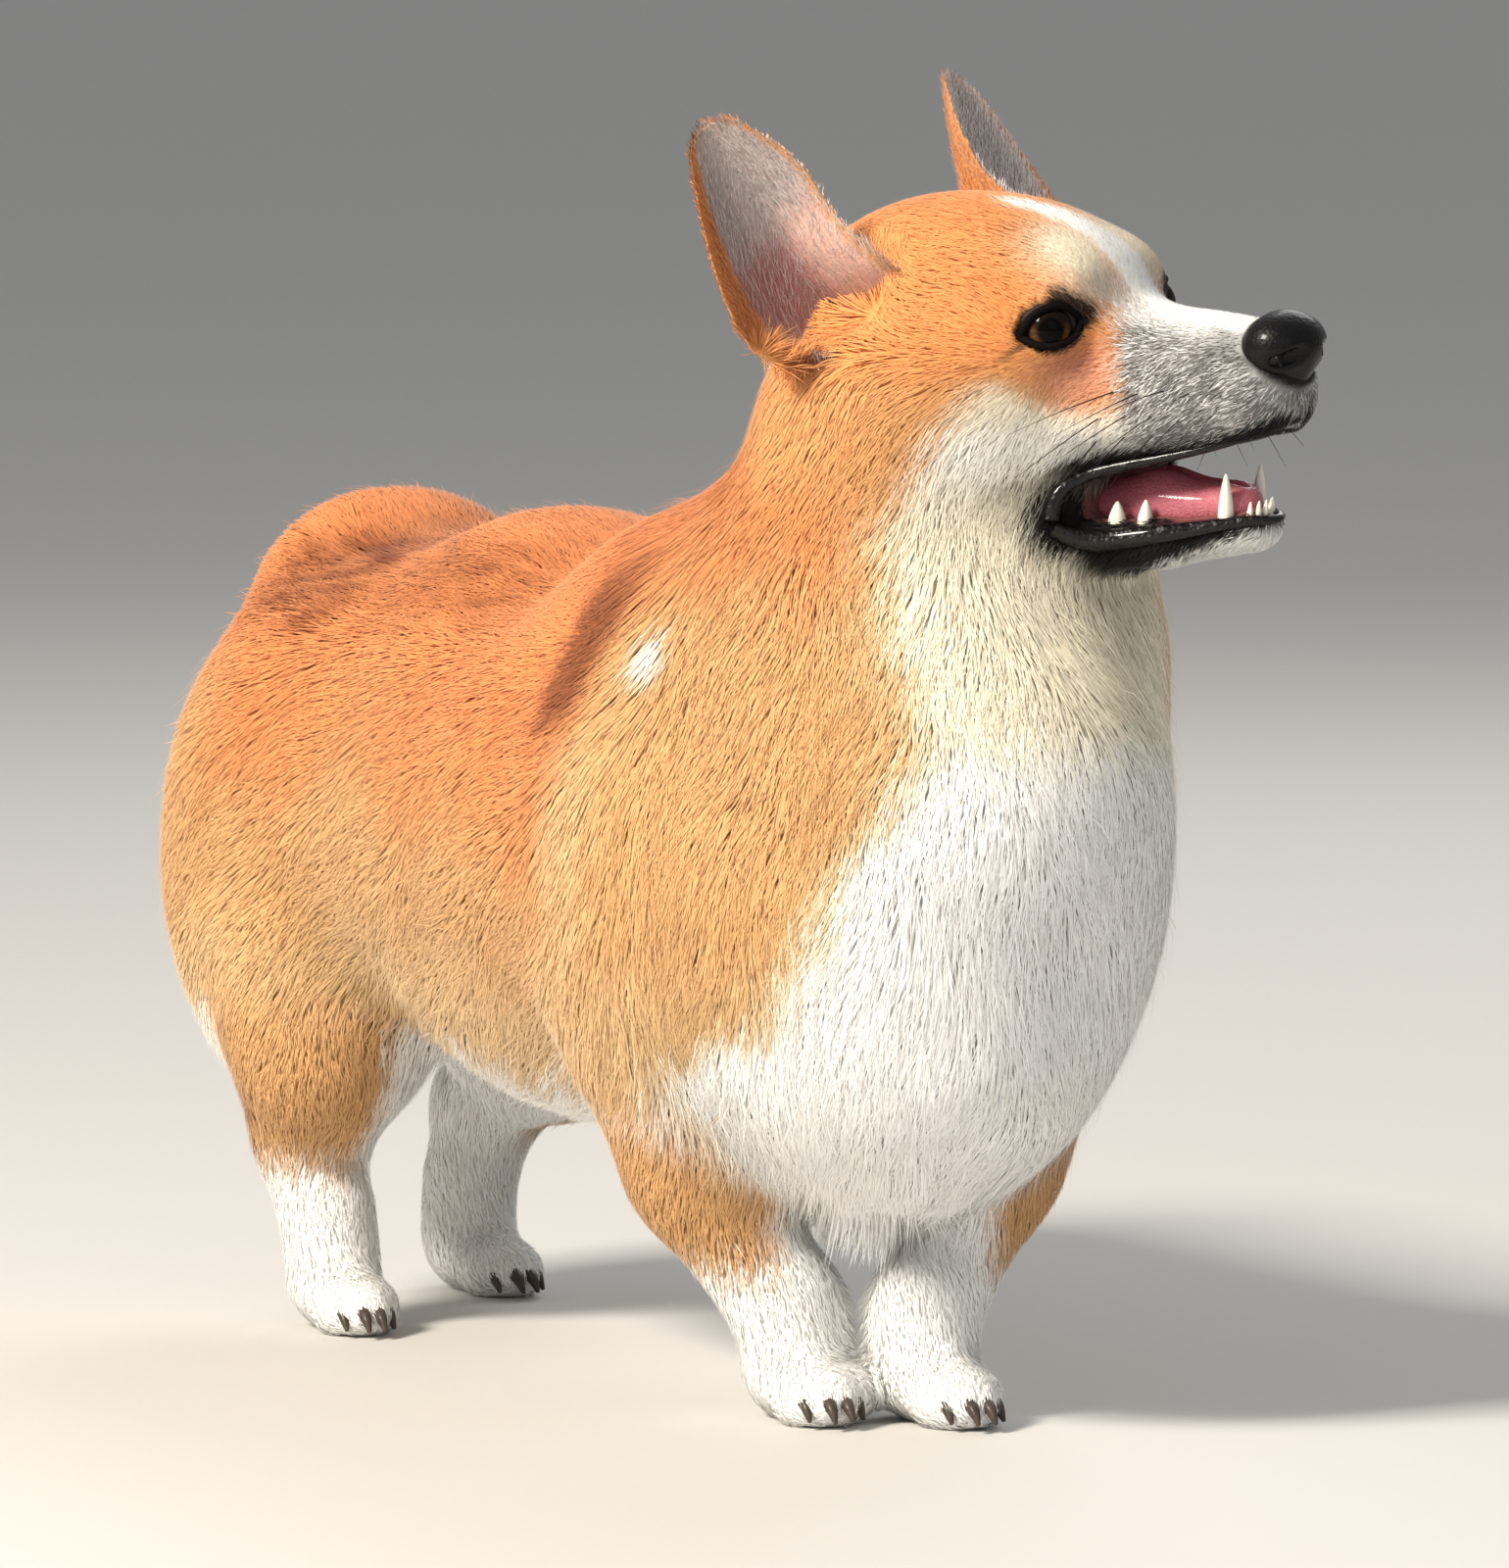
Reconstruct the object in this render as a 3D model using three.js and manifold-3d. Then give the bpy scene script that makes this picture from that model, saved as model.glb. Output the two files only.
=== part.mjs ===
// A Pembroke Welsh corgi at life size, walking, with its head turned to its left and its mouth open.
// +X is forward, +Y is the dog's left, +Z is up, and the four paws stand on z = 0. Sizes are in millimetres.
//
// The flesh is described as masses: balls and tapered limbs with named centres and radii, joined smoothly.
// Each node is a skin cast onto those masses by rays from a line that runs through the node. Neighbours
// share a section plane, or the smaller one is cut to the larger one's surface, with a gap of 0.3 mm.
import * as THREE from "three";
import { mergeVertices } from "three/addons/utils/BufferGeometryUtils.js";
import Module from "manifold-3d";

const wasm = await Module();
wasm.setup();

// Driving dimensions
const GAP = 0.3;
const FINEST = 0.02; // no face is kept for less than this
const RUMP_HALF = 91; // half the width over the thighs
const SHOULDER_HALF = 102; // half the width over the shoulders
const HEAD_PLACE = [172, 46, 370]; // the head's own origin, on the level of the bridge of the nose
const HEAD_YAW = 29; // degrees to the dog's left
const HEAD_ROLL = 6; // degrees, right side down
const SKULL_HALF = 50;
const EYE = { forward: 34.5, side: 28, up: -4, radius: 10.5, lid: 2.2, halfWidth: 9.8, halfHeight: 5.8 };
const EAR = { base: [-37, 45, 2], tip: [-59, 74, 68], width: 65, cup: 24, wall: 4, turn: { right: 22, left: -6 } };

const radians = THREE.MathUtils.degToRad;
const vec = (x, y, z) => new THREE.Vector3(x, y, z);

// Masses and fields: a field gives the distance from a point to the surface, negative inside.

function ball(centre, radii, blend = 12, turn = [0, 0, 0]) {
  const [rx, ry, rz] = radii;
  const place = new THREE.Matrix4().makeRotationFromEuler(new THREE.Euler(...turn.map(radians), "ZYX"));
  place.setPosition(...centre);
  const back = place.invert();
  const q = vec(0, 0, 0);
  const distance = (p) => {
    q.copy(p).applyMatrix4(back);
    const near = Math.hypot(q.x / rx, q.y / ry, q.z / rz);
    const slope = Math.hypot(q.x / rx ** 2, q.y / ry ** 2, q.z / rz ** 2);
    return near < 1e-6 ? -Math.min(rx, ry, rz) : (near * (near - 1)) / slope;
  };
  return { distance, blend };
}

function limb(from, fromRadius, to, toRadius, blend = 12) {
  const a = vec(...from);
  const along = vec(...to).sub(a);
  const length = along.length();
  along.normalize();
  const taper = (fromRadius - toRadius) / length;
  const steep = Math.sqrt(Math.max(1 - taper * taper, 0));
  const q = vec(0, 0, 0);
  const distance = (p) => {
    q.copy(p).sub(a);
    const y = q.dot(along);
    const x = Math.sqrt(Math.max(q.lengthSq() - y * y, 0));
    const k = y * steep - x * taper;
    if (k < 0) return Math.hypot(x, y) - fromRadius;
    if (k > steep * length) return Math.hypot(x, y - length) - toRadius;
    return x * steep + y * taper - fromRadius;
  };
  return { distance, blend };
}

function smoothMin(a, b, blend) {
  const h = Math.max(blend - Math.abs(a - b), 0) / blend;
  return Math.min(a, b) - (h * h * blend) / 4;
}

function joined(masses) {
  return (p) => masses.reduce((d, m) => smoothMin(d, m.distance(p), m.blend), 1e4);
}

function scooped(field, hollows) {
  return (p) => hollows.reduce((d, m) => -smoothMin(-d, m.distance(p), m.blend), field(p));
}

function placed(field, place) {
  const back = place.clone().invert();
  const q = vec(0, 0, 0);
  return (p) => field(q.copy(p).applyMatrix4(back).clone());
}

const bothSides = (make) => [make(-1), make(1)].flat();

// Solids

function solidOf(geometry) {
  const bare = new THREE.BufferGeometry();
  bare.setAttribute("position", geometry.getAttribute("position"));
  bare.setIndex(geometry.index);
  const merged = mergeVertices(bare, 1e-4);
  const mesh = new wasm.Mesh({
    numProp: 3,
    vertProperties: new Float32Array(merged.attributes.position.array),
    triVerts: new Uint32Array(merged.index.array),
  });
  return new wasm.Manifold(mesh);
}

// Closes rings of points into one body. Each end is a fan onto one point.
function bodyFromRings(rings, startPoint, endPoint) {
  const around = rings[0].length;
  const points = [...rings.flat(), startPoint, endPoint];
  const start = points.length - 2;
  const end = points.length - 1;
  const triangles = [];
  for (let j = 0; j < around; j++) {
    const k = (j + 1) % around;
    triangles.push(start, k, j);
    for (let i = 0; i < rings.length - 1; i++) {
      const a = i * around + j;
      const b = i * around + k;
      triangles.push(a, b, b + around, a, b + around, a + around);
    }
    const last = (rings.length - 1) * around;
    triangles.push(end, last + j, last + k);
  }
  const geometry = new THREE.BufferGeometry();
  geometry.setAttribute("position", new THREE.Float32BufferAttribute(points.flatMap((p) => p.toArray()), 3));
  geometry.setIndex(triangles);
  return solidOf(geometry);
}

// Where a ray from outside towards the origin first meets the field's surface.
function castTo(field, origin, direction, reach, level) {
  const p = vec(0, 0, 0);
  let t = reach;
  for (let i = 0; i < 200 && t > 0.5; i++) {
    const d = field(p.copy(origin).addScaledVector(direction, t)) - level;
    if (d < 0.008) break;
    t -= Math.max(d * 0.75, 0.01);
  }
  return origin.clone().addScaledVector(direction, Math.max(t, 0.5));
}

// Casts a skin from a line of stations { at, axis, steps }: rings of rays square to the axis, with a round
// end where roundStart or roundEnd gives its number of rings, and else a flat one.
function castSkin(field, line, options) {
  const { around, reach = 160, level = 0, roundStart = 0, roundEnd = 0, up = [0, 0, 1], floor } = options;
  const curve = new THREE.CatmullRomCurve3(line.map((s) => vec(...s.at)), false, "centripetal");
  const stations = [];
  const spot = (i, part) => {
    const at = part === 0 ? vec(...line[i].at) : curve.getPoint((i + part) / (line.length - 1));
    const axis = vec(...line[i].axis).normalize();
    if (part > 0) axis.lerp(vec(...line[i + 1].axis).normalize(), part).normalize();
    return { at, axis };
  };
  for (let i = 0; i < line.length - 1; i++) {
    for (let n = 0; n < line[i].steps; n++) stations.push({ ...spot(i, n / line[i].steps), tilt: 0 });
  }
  stations.push({ ...spot(line.length - 1, 0), tilt: 0 });
  const first = stations[0];
  const last = stations[stations.length - 1];
  for (let i = 1; i <= roundStart; i++) stations.unshift({ ...first, tilt: -i / (roundStart + 0.6) });
  for (let i = 1; i <= roundEnd; i++) stations.push({ ...last, tilt: i / (roundEnd + 0.6) });
  const rest = (p) => (floor && p.z < 0.05 ? p.setZ(0) : p);
  const rings = stations.map(({ at, axis, tilt }) => {
    const u = vec(...up).addScaledVector(axis, -vec(...up).dot(axis)).normalize();
    const v = vec(0, 0, 0).crossVectors(axis, u);
    const lean = (tilt * Math.PI) / 2;
    return Array.from({ length: around }, (_, j) => {
      const angle = (2 * Math.PI * j) / around;
      const direction = vec(0, 0, 0)
        .addScaledVector(u, Math.cos(angle) * Math.cos(lean))
        .addScaledVector(v, Math.sin(angle) * Math.cos(lean))
        .addScaledVector(axis, Math.sin(lean));
      return rest(castTo(field, at, direction, reach, level));
    });
  });
  const tip = (s, sign, round) =>
    round ? rest(castTo(field, s.at, s.axis.clone().multiplyScalar(sign), reach, level)) : s.at.clone();
  return bodyFromRings(rings, tip(first, -1, roundStart), tip(last, 1, roundEnd));
}

// A section square to its axis: the line ends that face each other across the gap, and the field's two sides.
function section(at, axis) {
  const n = vec(...axis).normalize();
  const height = (p) => n.x * (p.x - at[0]) + n.y * (p.y - at[1]) + n.z * (p.z - at[2]);
  return {
    before: { at: vec(...at).addScaledVector(n, -GAP / 2).toArray(), axis, steps: 0 },
    after: { at: vec(...at).addScaledVector(n, GAP / 2).toArray(), axis },
    under: (field) => (p) => Math.max(field(p), height(p) + GAP / 2),
    over: (field) => (p) => Math.max(field(p), GAP / 2 - height(p)),
  };
}

const largest = (solid) => solid.decompose().reduce((a, b) => (a.volume() > b.volume() ? a : b));

// A seeded draw between 0 and 1
function seeded(seed) {
  let state = seed;
  return () => {
    state = (state * 1664525 + 1013904223) % 4294967296;
    return state / 4294967296;
  };
}

function slopeOf(field, p) {
  const step = 0.8;
  const q = vec(0, 0, 0);
  const change = (x, y, z) => field(q.set(p.x + x, p.y + y, p.z + z)) - field(q.set(p.x - x, p.y - y, p.z - z));
  return vec(change(step, 0, 0), change(0, step, 0), change(0, 0, step)).normalize();
}

// One lock of the long coat: a flat, tapered blade. Its root is sunk in the surface, it runs along the lie
// of the coat and rises to its tip. From the part of its length called hang on, it leaves the body and falls.
function lockSolid(field, root, lie, size, grown = 0) {
  const { length, width, thick = 6, sink = 4, rise = 10, hang = 2, turn = 0, bend = 0 } = size;
  const steps = 12;
  const at = root.clone();
  const way = vec(0, 0, 0);
  const stations = [];
  let out = vec(0, 0, 0);
  for (let i = 0; i <= steps; i++) {
    const t = i / steps;
    const height = -sink + (sink + rise) * Math.sin(Math.min(1, t * 1.15) * Math.PI * 0.5);
    if (t <= hang) {
      out = slopeOf(field, at);
      at.addScaledVector(out, height - field(at));
      way.copy(lie(at)).addScaledVector(out, -lie(at).dot(out)).normalize();
      way.applyAxisAngle(out, turn + bend * (t - 0.5));
    } else {
      way.lerp(vec(way.x * 0.3, way.y * 0.3, -1), 0.3).normalize();
      out.addScaledVector(way, -out.dot(way)).normalize();
    }
    const aside = vec(0, 0, 0).crossVectors(out, way).normalize();
    stations.push({ at: at.clone(), out: out.clone(), aside, height, free: t > hang });
    at.addScaledVector(way, length / steps);
  }
  const rings = [[0, 0.7], [4, 1], [8, 0.72], [11, 0.3]].map(([i, wide]) => {
    const { at: middle, out: up, aside, height, free } = stations[i];
    const half = (width * wide) / 2 + grown;
    const deep = Math.max((thick * (1 - (0.75 * i) / steps)) / 2, 0.5) + grown;
    const edge = (sign) => {
      const e = middle.clone().addScaledVector(aside, sign * half);
      return free ? e : e.addScaledVector(slopeOf(field, e), height - 0.6 - field(e));
    };
    return [edge(1), middle.clone().addScaledVector(up, deep), edge(-1), middle.clone().addScaledVector(up, -deep)];
  });
  const last = stations[steps];
  const tip = last.at.clone().addScaledVector(vec(0, 0, 0).subVectors(last.at, stations[11].at).normalize(), grown * 2);
  return bodyFromRings(rings, stations[0].at, tip);
}

// A tier of locks: roots spread over an arc round a centre, or along the way to a second centre, each varied.
function tierOf(field, tier, draw, grown) {
  const { centre, second = centre, axis, ahead, from, to, count, lie, length, width } = tier;
  const n = vec(...axis).normalize();
  const u = vec(...ahead).addScaledVector(n, -vec(...ahead).dot(n)).normalize();
  const v = vec(0, 0, 0).crossVectors(n, u);
  return Array.from({ length: count }, (_, i) => {
    const angle = radians(from + ((to - from) * (i + 0.5 + (draw() - 0.5) * 0.4)) / count);
    const direction = vec(0, 0, 0).addScaledVector(u, Math.cos(angle)).addScaledVector(v, Math.sin(angle));
    const middle = vec(...centre).lerp(vec(...second), (i + 0.2 + 0.6 * draw()) / count);
    middle.addScaledVector(n, (draw() - 0.5) * (tier.scatter ?? 16));
    const root = castTo(field, middle, direction, 260, 0);
    const size = {
      ...tier,
      length: length * (0.88 + 0.24 * draw()),
      width: width * (0.88 + 0.24 * draw()),
      rise: (tier.rise ?? 10) * (0.8 + 0.3 * draw()),
      turn: (draw() - 0.5) * 0.5,
      bend: (draw() - 0.5) * 0.9,
    };
    return lockSolid(field, root, lie, size, grown);
  });
}

function locksOf(field, tiers, seed, grown = 0) {
  const draw = seeded(seed);
  return tiers.flatMap((tier) => tierOf(field, tier, draw, grown));
}

function roundBall(centre, radius, across, rings) {
  const shape = new THREE.SphereGeometry(radius, across, rings);
  shape.translate(centre.x, centre.y, centre.z);
  return solidOf(shape);
}

// Masses of the body, coat included

const torsoMasses = [
  ball([50, 2, 187], [170, 100, 92], 20),
  ball([150, 10, 172], [99, 95, 88], 30),
  ball([-80, 0, 187], [130, 88, 84], 30),
  ball([-161, 0, 192], [92, RUMP_HALF, 84], 30),
  ball([-218, 0, 248], [44, 54, 43], 22),
  ball([-66, 0, 238], [74, 56, 53], 26),
  ball([90, -2, 253], [84, 66, 51], 24),
  ball([158, 12, 122], [84, 58, 48], 30),
  ball([0, 0, 130], [120, 60, 44], 30),
  ...bothSides((side) => [
    ball([120, 8 + side * 56, 182], [60, SHOULDER_HALF - 56, 84], 24),
    ball([-190, side * 42, 162], [68, 55, 90], 24),
  ]),
];

const neckMasses = [
  limb([134, 14, 238], 74, [152, 38, 318], 60, 20),
  ball([148, 30, 250], [66, 82, 76], 24),
  limb([194, 28, 210], 60, [174, 38, 240], 46, 30),
];

// Masses of the head in its own frame: +X towards the nose, +Y left, +Z up, z = 0 on the bridge of the nose
const headMasses = [
  ball([-16, 0, -6], [60, SKULL_HALF, 42], 10),
  ball([16, 0, -5], [36, 36, 30], 20),
  ball([62, 0, -22], [50, 21, 19], 18),
  limb([60, 0, -19], 16, [102, 0, -18], 13.5, 12),
  ball([-25, 0, -42], [50, 48, 44], 20),
  ...bothSides((side) => [
    ball([-4, side * 34, -26], [40, 22, 34], 18),
    ball([-26, side * 44, -42], [36, 32, 40], 24),
    ball([30, side * 19, 9], [15, 12, 9], 10),
    limb([42, side * 18, -38], 14.5, [100, side * 8.5, -31], 11, 12),
    ball([8, side * 22, -66], [24, 14, 20], 16),
  ]),
];

const jawMasses = [
  ...bothSides((side) => [
    limb([16, side * 23, -77], 12, [66, side * 13.5, -75.5], 7.5, 8),
    limb([66, side * 13.5, -75.5], 7.5, [94, side * 5, -71], 5.2, 6),
  ]),
  limb([10, 0, -84], 12, [94, 0, -73], 4.5, 12),
];

const headPlace = new THREE.Matrix4().makeRotationFromEuler(
  new THREE.Euler(radians(HEAD_ROLL), 0, radians(HEAD_YAW), "ZYX"),
);
headPlace.setPosition(...HEAD_PLACE);
const inHead = (x, y, z) => vec(x, y, z).applyMatrix4(headPlace).toArray();
const wayInHead = (x, y, z) => vec(x, y, z).transformDirection(headPlace).toArray();

const torsoField = joined(torsoMasses);
const neckField = joined(neckMasses);
const palate = limb([30, 0, -58], 15, [100, 0, -42], 7, 5);
const headField = placed(scooped(joined(headMasses), [palate]), headPlace);
const trunkField = (p) => smoothMin(torsoField(p), neckField(p), 24);
const fleshField = (p) => smoothMin(trunkField(p), headField(p), 24);
const jawField = placed(joined(jawMasses), headPlace);

// The head with only the part of the neck that lies behind the angle of the jaw
const headBack = headPlace.clone().invert();
const behindJaw = (p) => p.clone().applyMatrix4(headBack).x - 16;
const headAndNape = (p) => smoothMin(headField(p), Math.max(trunkField(p), behindJaw(p)), 18);

// Torso, neck and head
const shawl = section([131, 10, 241], [0.5, 0.12, 0.86]);
const nape = section(inHead(-25, 0, -42), wayInHead(0.64, 0, 0.766));

const torsoLine = [
  { at: [-185, 0, 194], axis: [1, 0, 0], steps: 7 },
  { at: [10, 2, 190], axis: [1, 0, 0], steps: 2 },
  { at: [46, 3, 187], axis: [1, 0.02, 0.1], steps: 3 },
  { at: [84, 5, 194], axis: [0.9, 0.05, 0.44], steps: 3 },
  { at: [108, 8, 214], axis: [0.75, 0.1, 0.66], steps: 3 },
  shawl.before,
];
const neckLine = [
  { ...shawl.after, steps: 3 },
  { at: [134, 22, 280], axis: [0.51, 0.2, 0.83], steps: 4 },
  nape.before,
];
const headLine = [
  { ...nape.after, steps: 4 },
  { at: inHead(-3, 0, -30), axis: wayInHead(0.85, 0, 0.53), steps: 4 },
  { at: inHead(20, 0, -20), axis: wayInHead(0.97, 0, 0.24), steps: 4 },
  { at: inHead(44, 0, -20), axis: wayInHead(1, 0, 0), steps: 7 },
  { at: inHead(99, 0, -25), axis: wayInHead(1, 0, 0), steps: 0 },
];
const jawLine = [
  { at: inHead(4, 0, -82), axis: wayInHead(1, 0, 0), steps: 6 },
  { at: inHead(95, 0, -73), axis: wayInHead(1, 0, 0), steps: 0 },
];

const torsoCast = (level) =>
  castSkin(shawl.under(trunkField), torsoLine, { around: 32, roundStart: 6, reach: 260, level });
const neckCast = (level) =>
  castSkin(nape.under(shawl.over(fleshField)), neckLine, { around: 32, reach: 180, level });
const headCast = (level) =>
  castSkin(nape.over(headAndNape), headLine, { around: 32, roundEnd: 3, reach: 130, level });
const jawCast = (level) => castSkin(jawField, jawLine, { around: 16, roundEnd: 3, reach: 60, level });
const torso = torsoCast(0);
const torsoRaised = torsoCast(GAP);
const neck = neckCast(0);
const neckRaised = neckCast(GAP);
const headSkin = headCast(0);
const headRaised = headCast(GAP);
const jawSkin = jawCast(0);
const jawRaised = jawCast(GAP);

// Ears: a cupped leaf, from its base in the skull to its tip

function earSolid(side, grown = 0) {
  const base = vec(EAR.base[0], side * EAR.base[1], EAR.base[2]);
  const tip = vec(EAR.tip[0], side * EAR.tip[1], EAR.tip[2]);
  const turn = radians(side < 0 ? EAR.turn.right : EAR.turn.left);
  const opening = vec(Math.cos(turn), side * Math.sin(turn), 0.1);
  const length = tip.distanceTo(base);
  const rise = tip.clone().sub(base).normalize();
  opening.addScaledVector(rise, -opening.dot(rise)).normalize();
  const across = vec(0, 0, 0).crossVectors(rise, opening).multiplyScalar(side);
  const profile = [
    [-0.3, 0.8, 1.1],
    [-0.12, 0.96, 1.08],
    [0.06, 1.02, 1],
    [0.24, 1, 0.88],
    [0.42, 0.88, 0.7],
    [0.6, 0.7, 0.52],
    [0.76, 0.5, 0.36],
    [0.89, 0.29, 0.22],
    [0.97, 0.14, 0.1],
  ];
  const half = 6;
  const rings = profile.map(([t, wide, deep]) => {
    const centre = base.clone().addScaledVector(rise, t * length);
    const outer = [];
    const inner = [];
    for (let i = 0; i <= half * 2; i++) {
      const s = (i - half) / half;
      const bend = Math.cos((s * Math.PI) / 2.1);
      const thick = EAR.wall * (0.35 + 0.65 * Math.sqrt(1 - s * s)) * Math.min(1, wide + 0.25) + 2 * grown;
      const point = centre
        .clone()
        .addScaledVector(across, s * ((wide * EAR.width) / 2 + grown) + 4 * Math.sin(Math.PI * Math.max(t, 0)))
        .addScaledVector(opening, (1 - bend) * deep * EAR.cup - EAR.cup * 0.6);
      const outward = across.clone().multiplyScalar(s * 0.8).addScaledVector(opening, -1).normalize();
      outer.push(point.clone().addScaledVector(outward, thick / 2));
      inner.push(point.clone().addScaledVector(outward, -thick / 2));
    }
    const ring = [...outer, ...inner.reverse()];
    return (side > 0 ? ring : ring.reverse()).map((p) => p.applyMatrix4(headPlace));
  });
  const middle = (ring) => ring.reduce((a, p) => a.add(p), vec(0, 0, 0)).divideScalar(ring.length);
  const end = tip.clone().addScaledVector(opening, -EAR.cup * 0.6).applyMatrix4(headPlace);
  const body = bodyFromRings(rings, middle(rings[0]), end);
  return body.volume() > 0 ? body : bodyFromRings(rings.map((r) => [...r].reverse()), middle(rings[0]), end);
}

// Eyes, each in a socket of the head
const eyeCentre = (side) => vec(EYE.forward, side * EYE.side, EYE.up).applyMatrix4(headPlace);
const eye = (side) => roundBall(eyeCentre(side), EYE.radius, 14, 9);
const socket = (side) => roundBall(eyeCentre(side), EYE.radius + GAP, 14, 9);
const lidBall = (side) => roundBall(eyeCentre(side), EYE.radius + EYE.lid, 14, 9);

// The almond opening between the lids, cut outwards from the middle of the eye
function lidOpening(side) {
  const look = vec(...wayInHead(0.86, side * 0.5, 0.05));
  const level = vec(0, 0, 0).crossVectors(vec(...wayInHead(0, 0, 1)), look).normalize();
  const rise = vec(0, 0, 0).crossVectors(look, level);
  const centre = eyeCentre(side);
  const ring = (ahead, spread) =>
    Array.from({ length: 12 }, (_, i) => {
      const angle = (2 * Math.PI * i) / 12;
      const across = Math.cos(angle);
      const high = Math.sin(angle) * (1 - 0.25 * across * across);
      return centre
        .clone()
        .addScaledVector(look, ahead)
        .addScaledVector(level, across * EYE.halfWidth * spread)
        .addScaledVector(rise, high * EYE.halfHeight * spread);
    });
  const far = EYE.radius + 14;
  const near = 0.5;
  return bodyFromRings(
    [ring(near, 0.9), ring(EYE.radius * 0.8, 1), ring(far, 1.25)],
    centre.clone().addScaledVector(look, near),
    centre.clone().addScaledVector(look, far),
  );
}

function tube(points, radius, around, rings) {
  const curve = new THREE.CatmullRomCurve3(points.map((p) => vec(...p)));
  const frames = curve.computeFrenetFrames(rings, false);
  const loops = frames.tangents.map((_, i) =>
    Array.from({ length: around }, (_, j) => {
      const angle = (2 * Math.PI * j) / around;
      const size = radius * (i === 0 || i === rings ? 0.5 : 1);
      return curve
        .getPointAt(i / rings)
        .addScaledVector(frames.normals[i], size * Math.cos(angle))
        .addScaledVector(frames.binormals[i], size * Math.sin(angle))
        .applyMatrix4(headPlace);
    }),
  );
  const end = (t) => curve.getPointAt(t).applyMatrix4(headPlace);
  return bodyFromRings(loops, end(0), end(1));
}

// A pointed piece: rings that shrink along a bend from its root to its tip
function spike(root, tip, radius, bend, around, place) {
  const a = vec(...root);
  const axis = vec(...tip).sub(a);
  const u = vec(0, 1, 0).addScaledVector(axis, -axis.y / axis.lengthSq()).normalize();
  const v = vec(0, 0, 0).crossVectors(axis, u).normalize();
  const at = (t) => a.clone().addScaledVector(axis, t).add(vec(...bend).multiplyScalar(4 * t * (1 - t)));
  const loops = [0, 0.5, 0.85].map((t) =>
    Array.from({ length: around }, (_, j) => {
      const angle = (2 * Math.PI * j) / around;
      const size = radius * (1 - t * t * 0.85);
      return at(t)
        .addScaledVector(u, size * Math.cos(angle))
        .addScaledVector(v, size * Math.sin(angle))
        .applyMatrix4(place);
    }),
  );
  return bodyFromRings(loops, a.applyMatrix4(place), vec(...tip).applyMatrix4(place));
}

// Lips: a rim along the edge of each jaw
const upperLip = (side, grown = 0) =>
  tube(
    [
      [112, side * 1, -36],
      [106, side * 8.5, -38],
      [92, side * 14, -43],
      [72, side * 19.5, -47],
      [54, side * 24, -50],
      [38, side * 27, -55],
      [31, side * 28, -64],
      [34, side * 25.5, -74],
    ],
    2 + grown,
    6,
    11,
  );
const lowerLip = (side) =>
  tube(
    [
      [38, side * 23.5, -73],
      [56, side * 18.5, -70],
      [75, side * 14.5, -68.5],
      [91, side * 10.5, -67],
      [99.5, side * 6.5, -67],
      [102.5, side * 1, -67.5],
    ],
    2,
    6,
    8,
  );

// Lower teeth, rooted in the jaw: canines, incisors and premolars
const incisorPlaces = [-6.3, -4, -1.4, 1.4, 4, 6.3];
const teeth = [
  ...bothSides((side) => [
    spike([88, side * 9.3, -72], [90, side * 10.3, -53], 2.8, [1.2, 0, 0], 7, headPlace),
    ...[50, 61, 71].map((x, i) =>
      spike([x, side * (18 - i * 1.6), -73], [x + 1, side * (18.6 - i * 1.8), -55 - i * 2], 3.4 - i * 0.5, [0, 0, 0], 6, headPlace),
    ),
  ]),
  ...incisorPlaces.map((y) => spike([97.8 - y * y * 0.07, y, -72], [99.5 - y * y * 0.08, y, -62.5], 1.5, [0, 0, 0], 5, headPlace)),
];

// Nose
const noseMasses = [
  ball([109, 0, -11], [12.5, 14, 11], 6),
  ball([106, 0, -19], [10, 8, 9], 6),
  ...bothSides((side) => ball([108, side * 8, -12], [9, 7, 8], 5)),
];
const nostrils = bothSides((side) => limb([123, side * 6.5, -13], 3.2, [113, side * 12.5, -15], 2, 1.5));
const noseLine = [
  { at: inHead(100, 0, -13), axis: wayInHead(1, 0, 0), steps: 4 },
  { at: inHead(108, 0, -13), axis: wayInHead(1, 0, 0), steps: 0 },
];
const noseField = placed(scooped(joined(noseMasses), nostrils), headPlace);
const noseSkin = castSkin(noseField, noseLine, { around: 20, roundEnd: 4, reach: 40 });

// Tongue
const tongueMasses = [
  limb([20, 0, -70], 10, [60, 0, -64], 9, 10),
  limb([60, 0, -64], 9, [89, 0, -64.5], 5.5, 10),
  ...bothSides((side) => limb([24, side * 7, -70], 8, [86, side * 4, -64.5], 5, 8)),
];
const tongueField = placed(joined(tongueMasses), headPlace);
const tongueLine = [
  { at: inHead(24, 0, -68), axis: wayInHead(1, 0, 0), steps: 6 },
  { at: inHead(86, 0, -65), axis: wayInHead(1, 0, 0), steps: 0 },
];
const tongueSkin = castSkin(tongueField, tongueLine, { around: 12, roundEnd: 2, reach: 40 });

// Legs and paws

function legOf(joints, radii, around, front) {
  const masses = joints.slice(1).map((to, i) => limb(joints[i], radii[i], to, radii[i + 1], 16));
  const field = joined(masses);
  const line = joints.map((at, i) => {
    const a = vec(...joints[Math.max(i - 1, 0)]);
    const b = vec(...joints[Math.min(i + 1, joints.length - 1)]);
    return { at, axis: b.sub(a).normalize().toArray(), steps: 3 };
  });
  line[line.length - 1].axis = [0, 0, -1];
  const [x, y, ankle] = joints[joints.length - 1];
  const underAnkle = wasm.Manifold.cube([300, 300, 100], true).translate([x, y, ankle - 50]);
  return (level) => castSkin(field, line, { around, reach: 70, roundStart: 1, up: front, level }).subtract(underAnkle);
}

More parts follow.
